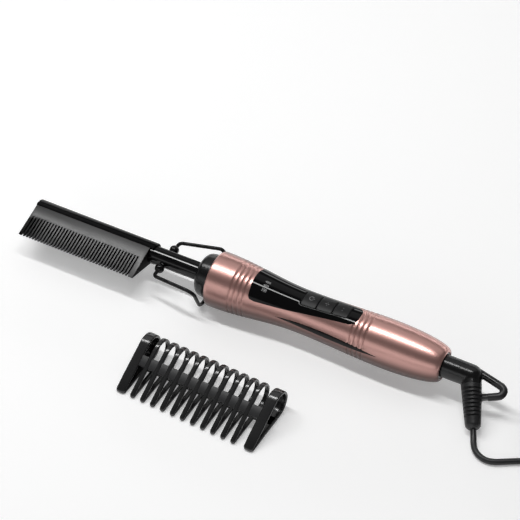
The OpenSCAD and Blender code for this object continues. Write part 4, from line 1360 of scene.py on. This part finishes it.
def guard_pairs():
    """Matching outer and inner points of the guard's section, as ((v, w), (v, w))."""
    half = math.asin((GUARD_R - GUARD_TIP_R) / GUARD_REACH)
    slope = math.degrees(2 * half)
    tip = (GUARD_REACH * math.cos(half), GUARD_TIP_R)
    back = (0.0, GUARD_R)
    bore = GUARD_R - GUARD_WALL
    apex = Vector((bore / math.sin(half) * math.cos(half), GUARD_R - bore))
    outer = arc(tip, GUARD_TIP_R, -90, 90 - slope, 8)
    inner = [apex] * 9
    top_out, top_in = arc(back, GUARD_R, 90 - slope, 270, 30), arc(back, bore, 90 - slope, 270, 30)
    for k in (1, 2, 3):
        outer.append(outer[8].lerp(top_out[0], k / 4))
        inner.append(apex.lerp(top_in[0], k / 4))
    outer += top_out
    inner += top_in
    for k in (1, 2, 3):
        outer.append(top_out[-1].lerp(outer[0], k / 4))
        inner.append(top_in[-1].lerp(apex, k / 4))
    return list(zip(outer, inner)) + [(outer[0], inner[0])]


class COMB_OT_guard(bpy.types.Operator):
    """Build the slip-on comb guard: hairpin ribs, two end plates and the bars between"""

    bl_idname = "comb.guard"
    bl_label = "Comb guard"

    def execute(self, context):
        pairs = guard_pairs()
        rib = self.hairpin("Rib", pairs, -RIB_T / 2, RIB_T / 2, 0.75)
        along = guard_axes()[0]
        parts = [rib]
        for k in range(1, GUARD_RIBS):
            pick(rib)
            bpy.ops.object.duplicate()
            copy = bpy.context.object
            copy.data.transform(Matrix.Translation(along * GUARD_PITCH * k * MM))
            parts.append(copy)
        parts.append(self.hairpin("Open_ring", pairs, OPEN_FROM, OPEN_TO, 0.8))
        parts.append(self.hairpin("Closed_ring", pairs, PLATE_FROM, PLATE_TO, 0.8))
        parts.append(self.wall(pairs))
        parts += [self.bar(BAR_LOW, False), self.bar(BAR_HIGH, True)]
        for part in parts:
            if not part.data.materials:
                wear(part, "guard")
        guard = join("Guard", *parts)
        smooth(guard, 35)
        finish_piece(guard, "guard", "guard_black", "guard_comb")
        return {"FINISHED"}

    def place(self, u, v, w):
        along, tips, up = guard_axes()
        return (GUARD_AT + along * u + tips * v + up * w) * MM

    def hairpin(self, name, pairs, start, end, edge):
        """One closed loop of the section with rounded edges."""
        rows = [[self.place(start, *p[k]) for p in pairs] for k in (0, 1)]
        loop = thick_sheet(name, rows, guard_axes()[0] * (end - start), 0.01)
        bpy.ops.object.mode_set(mode="EDIT")
        bpy.ops.mesh.select_all(action="DESELECT")
        bpy.ops.mesh.select_interior_faces()
        bpy.ops.mesh.delete(type="FACE")
        bpy.ops.object.mode_set(mode="OBJECT")
        soften(loop, edge, 3, 50)
        return self.round_tip(loop, start, end)

    def round_tip(self, loop, start, end):
        """Narrows a loop towards its tip, so that it ends round."""
        along, tips, up = guard_axes()
        middle, half = (start + end) / 2, min(end - start, 4.4) / 2
        half_angle = math.asin((GUARD_R - GUARD_TIP_R) / GUARD_REACH)
        last = GUARD_REACH * math.cos(half_angle) + GUARD_TIP_R
        for vertex in loop.data.vertices:
            offset = vertex.co / MM - GUARD_AT
            over = offset.dot(tips) - (last - half)
            if over > 0:
                u = offset.dot(along) - middle
                inset = half - math.sqrt(max(0.0, half * half - min(over, half) ** 2))
                shrink = max(0.0, abs(u) - inset * 0.9) - abs(u)
                vertex.co += along * math.copysign(1, u) * shrink * MM
        return loop

    def wall(self, pairs):
        """The wall that closes the guard's near end."""
        along, tips, up = guard_axes()
        wall = extruded(
            "End_wall", [p[0] * 0.985 + Vector((0.1, 0.14)) for p in pairs[:-1]], 2.0,
            self.place(PLATE_FROM + 0.5, 0, 0), tips, up, along,
        )
        return soften(wall, 0.3, 2, 50)

    def bar(self, start, high):
        """A bar along one face, a little lower than the ribs."""
        along, tips, up = guard_axes()
        slope = 2 * math.asin((GUARD_R - GUARD_TIP_R) / GUARD_REACH)
        thick = GUARD_WALL - BAR_DROP
        if high:
            run = tips * math.cos(slope) - up * math.sin(slope)
            out = tips * math.sin(slope) + up * math.cos(slope)
            origin = self.place(PLATE_FROM + 1, 0, GUARD_R) + (run * start + out * (GUARD_R - GUARD_WALL)) * MM
        else:
            run, out = tips, up
            origin = self.place(PLATE_FROM + 1, start, BAR_DROP)
        outline = [(0, 0), (BAR_W, 0), (BAR_W, thick), (0, thick)]
        bar = extruded("Bar", outline, OPEN_TO - PLATE_FROM - 2, origin, run, out, along)
        return wear(soften(bar, 0.3, 2, 50), "bar")


# ------------------------------------------------------------------ plug and strap
RELIEF_LEN = 20.0
PLUG_LEN = 26.0
PLUG_W = 22.0
PLUG_H = 14.0
BLADES_APART = 12.7


class COMB_OT_plug(bpy.types.Operator):
    """Build the plug with its blades, and the strap round the coil"""

    bl_idname = "comb.plug"
    bl_label = "Plug and strap"

    def execute(self, context):
        along = PLUG_ALONG.normalized()
        side = along.cross(Z)
        origin = PLUG_AT * MM
        self.body(origin, along, side)
        self.blades(origin, along, side)
        self.strap()
        line = cord_line()[0]
        return {"FINISHED"}

    def body(self, origin, along, side):
        relief = [(0.2, 1.95), (0, 2.2), (0, 2.9)]
        for k in range(7):
            a = 2.0 + 2.4 * k
            r = 3.0 + 1.6 * a / RELIEF_LEN
            relief += [(a, r), (a + 0.15, r - 0.75), (a + 0.85, r - 0.75), (a + 1.0, r + 0.05)]
        relief += [(RELIEF_LEN + 1, 4.7), (RELIEF_LEN + 1, 0)]
        parts = [spun("Relief", relief, origin, along, side, 40)]
        r = PLUG_H / 2
        flat = PLUG_W / 2 - r
        section = arc((flat, 0), r, -90, 90, 12) + arc((-flat, 0), r, 90, 270, 12)
        shoe = extruded("Shoe", section, PLUG_LEN, origin + along * RELIEF_LEN * MM, side, Z, along)
        for sign in (-1, 1):
            place = origin + (along * (RELIEF_LEN + 9) + side * sign * (PLUG_W / 2 + 7)) * MM
            boolean(shoe, cylinder(9, 30, 48, place))
        parts.append(soften(shoe, 1.2, 4, 40))
        plug = join("Plug_body", *parts)
        dress(plug, 35, "boot", "handle", "black_matte", "plug_body")

    def blades(self, origin, along, side):
        made = []
        for sign in (-1, 1):
            half = 6.3 / 2
            outline = [(-half, 0), (-half, 15.6), (-half + 1.2, 17), (half - 1.2, 17), (half, 15.6), (half, 0)]
            place = origin + (along * (RELIEF_LEN + PLUG_LEN - 0.5) + side * (sign * BLADES_APART / 2 - 0.75)) * MM
            blade = extruded("Blade", outline, 1.5, place, Z, along, side)
            boolean(blade, cylinder(1.6, 4, 32, place + (along * 12.5 + side * 0.75) * MM, side))
            made.append(soften(blade, 0.18, 2, 40))
        pair = join("Plug_blades", *made)
        dress(pair, 35, "nickel", "handle", "nickel", "plug_blades")

    def strap(self):
        a = math.radians(128)
        out = Vector((math.cos(a), math.sin(a), 0))
        round_coil = Vector((-math.sin(a), math.cos(a), 0))
        box_low, box_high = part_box("coil_tie")
        inner, outer = COIL_MEAN_R - 9.1, COIL_MEAN_R + 9.1
        top = (box_high[2] - box_low[2]) / MM
        corners = [(outer, 0, 1.9), (outer, top, 1.9), (inner, top, 1.9), (inner, 0, 1.9)]
        outline = rounded([(inner + 4, 0), *corners, (inner + 4, 0)], 5)
        middle = Vector(((inner + outer) / 2, top / 2))
        rows = []
        for deep in (0.0, 0.5):
            row = []
            for p in outline:
                d = p - middle
                scale_x = 1 - deep / abs(outer - middle.x)
                scale_y = 1 - deep / (top / 2)
                q = middle + Vector((d.x * scale_x, d.y * scale_y))
                row.append((Vector((COIL_MID[0], COIL_MID[1], 0)) + out * q.x + Vector((0, 0, q.y))
                            - round_coil * 2.5) * MM)
            rows.append(row)
        strap = thick_sheet("Coil_strap", rows, round_coil * 5, 0.01)
        soften(strap, 0.12, 2, 50)
        dress(strap, 35, "tie", "handle", "tie_black", "coil_tie")


class COMB_OT_node_finishes(bpy.types.Operator):
    """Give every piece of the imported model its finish"""

    bl_idname = "comb.node_finishes"
    bl_label = "Finishes"

    def execute(self, context):
        make_materials()
        for key, nodes in NODE_FINISHES.items():
            for node in nodes.split():
                wear(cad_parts[node], key)
        return {"FINISHED"}


class COMB_PT_panel(bpy.types.Panel):
    """Buttons for building the comb, piece by piece"""

    bl_label = "Hot Comb"
    bl_idname = "COMB_PT_panel"
    bl_space_type = "VIEW_3D"
    bl_region_type = "UI"
    bl_category = "Hot Comb"

    def draw(self, context):
        for operator in OPERATORS:
            self.layout.operator(operator.bl_idname)
        for group in (context.scene.comb_handle, context.scene.comb_finish, context.scene.comb_studio):
            for name in group.__annotations__:
                self.layout.prop(group, name)


GROUPS = (HandleSettings, FinishSettings, StudioSettings)
OPERATORS = (
    COMB_OT_stage, COMB_OT_node_finishes, COMB_OT_cord, COMB_OT_handle, COMB_OT_controls, COMB_OT_inlays,
    COMB_OT_head, COMB_OT_barrel, COMB_OT_stand, COMB_OT_boot, COMB_OT_guard, COMB_OT_plug,
)


def register():
    for made in (*GROUPS, *OPERATORS, COMB_PT_panel):
        bpy.utils.register_class(made)
    bpy.types.Scene.comb_handle = PointerProperty(type=HandleSettings)
    bpy.types.Scene.comb_finish = PointerProperty(type=FinishSettings)
    bpy.types.Scene.comb_studio = PointerProperty(type=StudioSettings)


def unregister():
    del bpy.types.Scene.comb_studio
    del bpy.types.Scene.comb_finish
    del bpy.types.Scene.comb_handle
    for made in (COMB_PT_panel, *reversed(OPERATORS), *reversed(GROUPS)):
        bpy.utils.unregister_class(made)


def main():
    register()
    bpy.ops.comb.stage()
    bpy.ops.comb.node_finishes()
    bpy.ops.comb.cord()
    bpy.ops.comb.handle()
    bpy.ops.comb.controls()
    bpy.ops.comb.inlays()
    bpy.ops.comb.head()
    bpy.ops.comb.barrel()
    bpy.ops.comb.stand()
    bpy.ops.comb.boot()
    bpy.ops.comb.guard()
    bpy.ops.comb.plug()


if __name__ == "__main__":
    main()
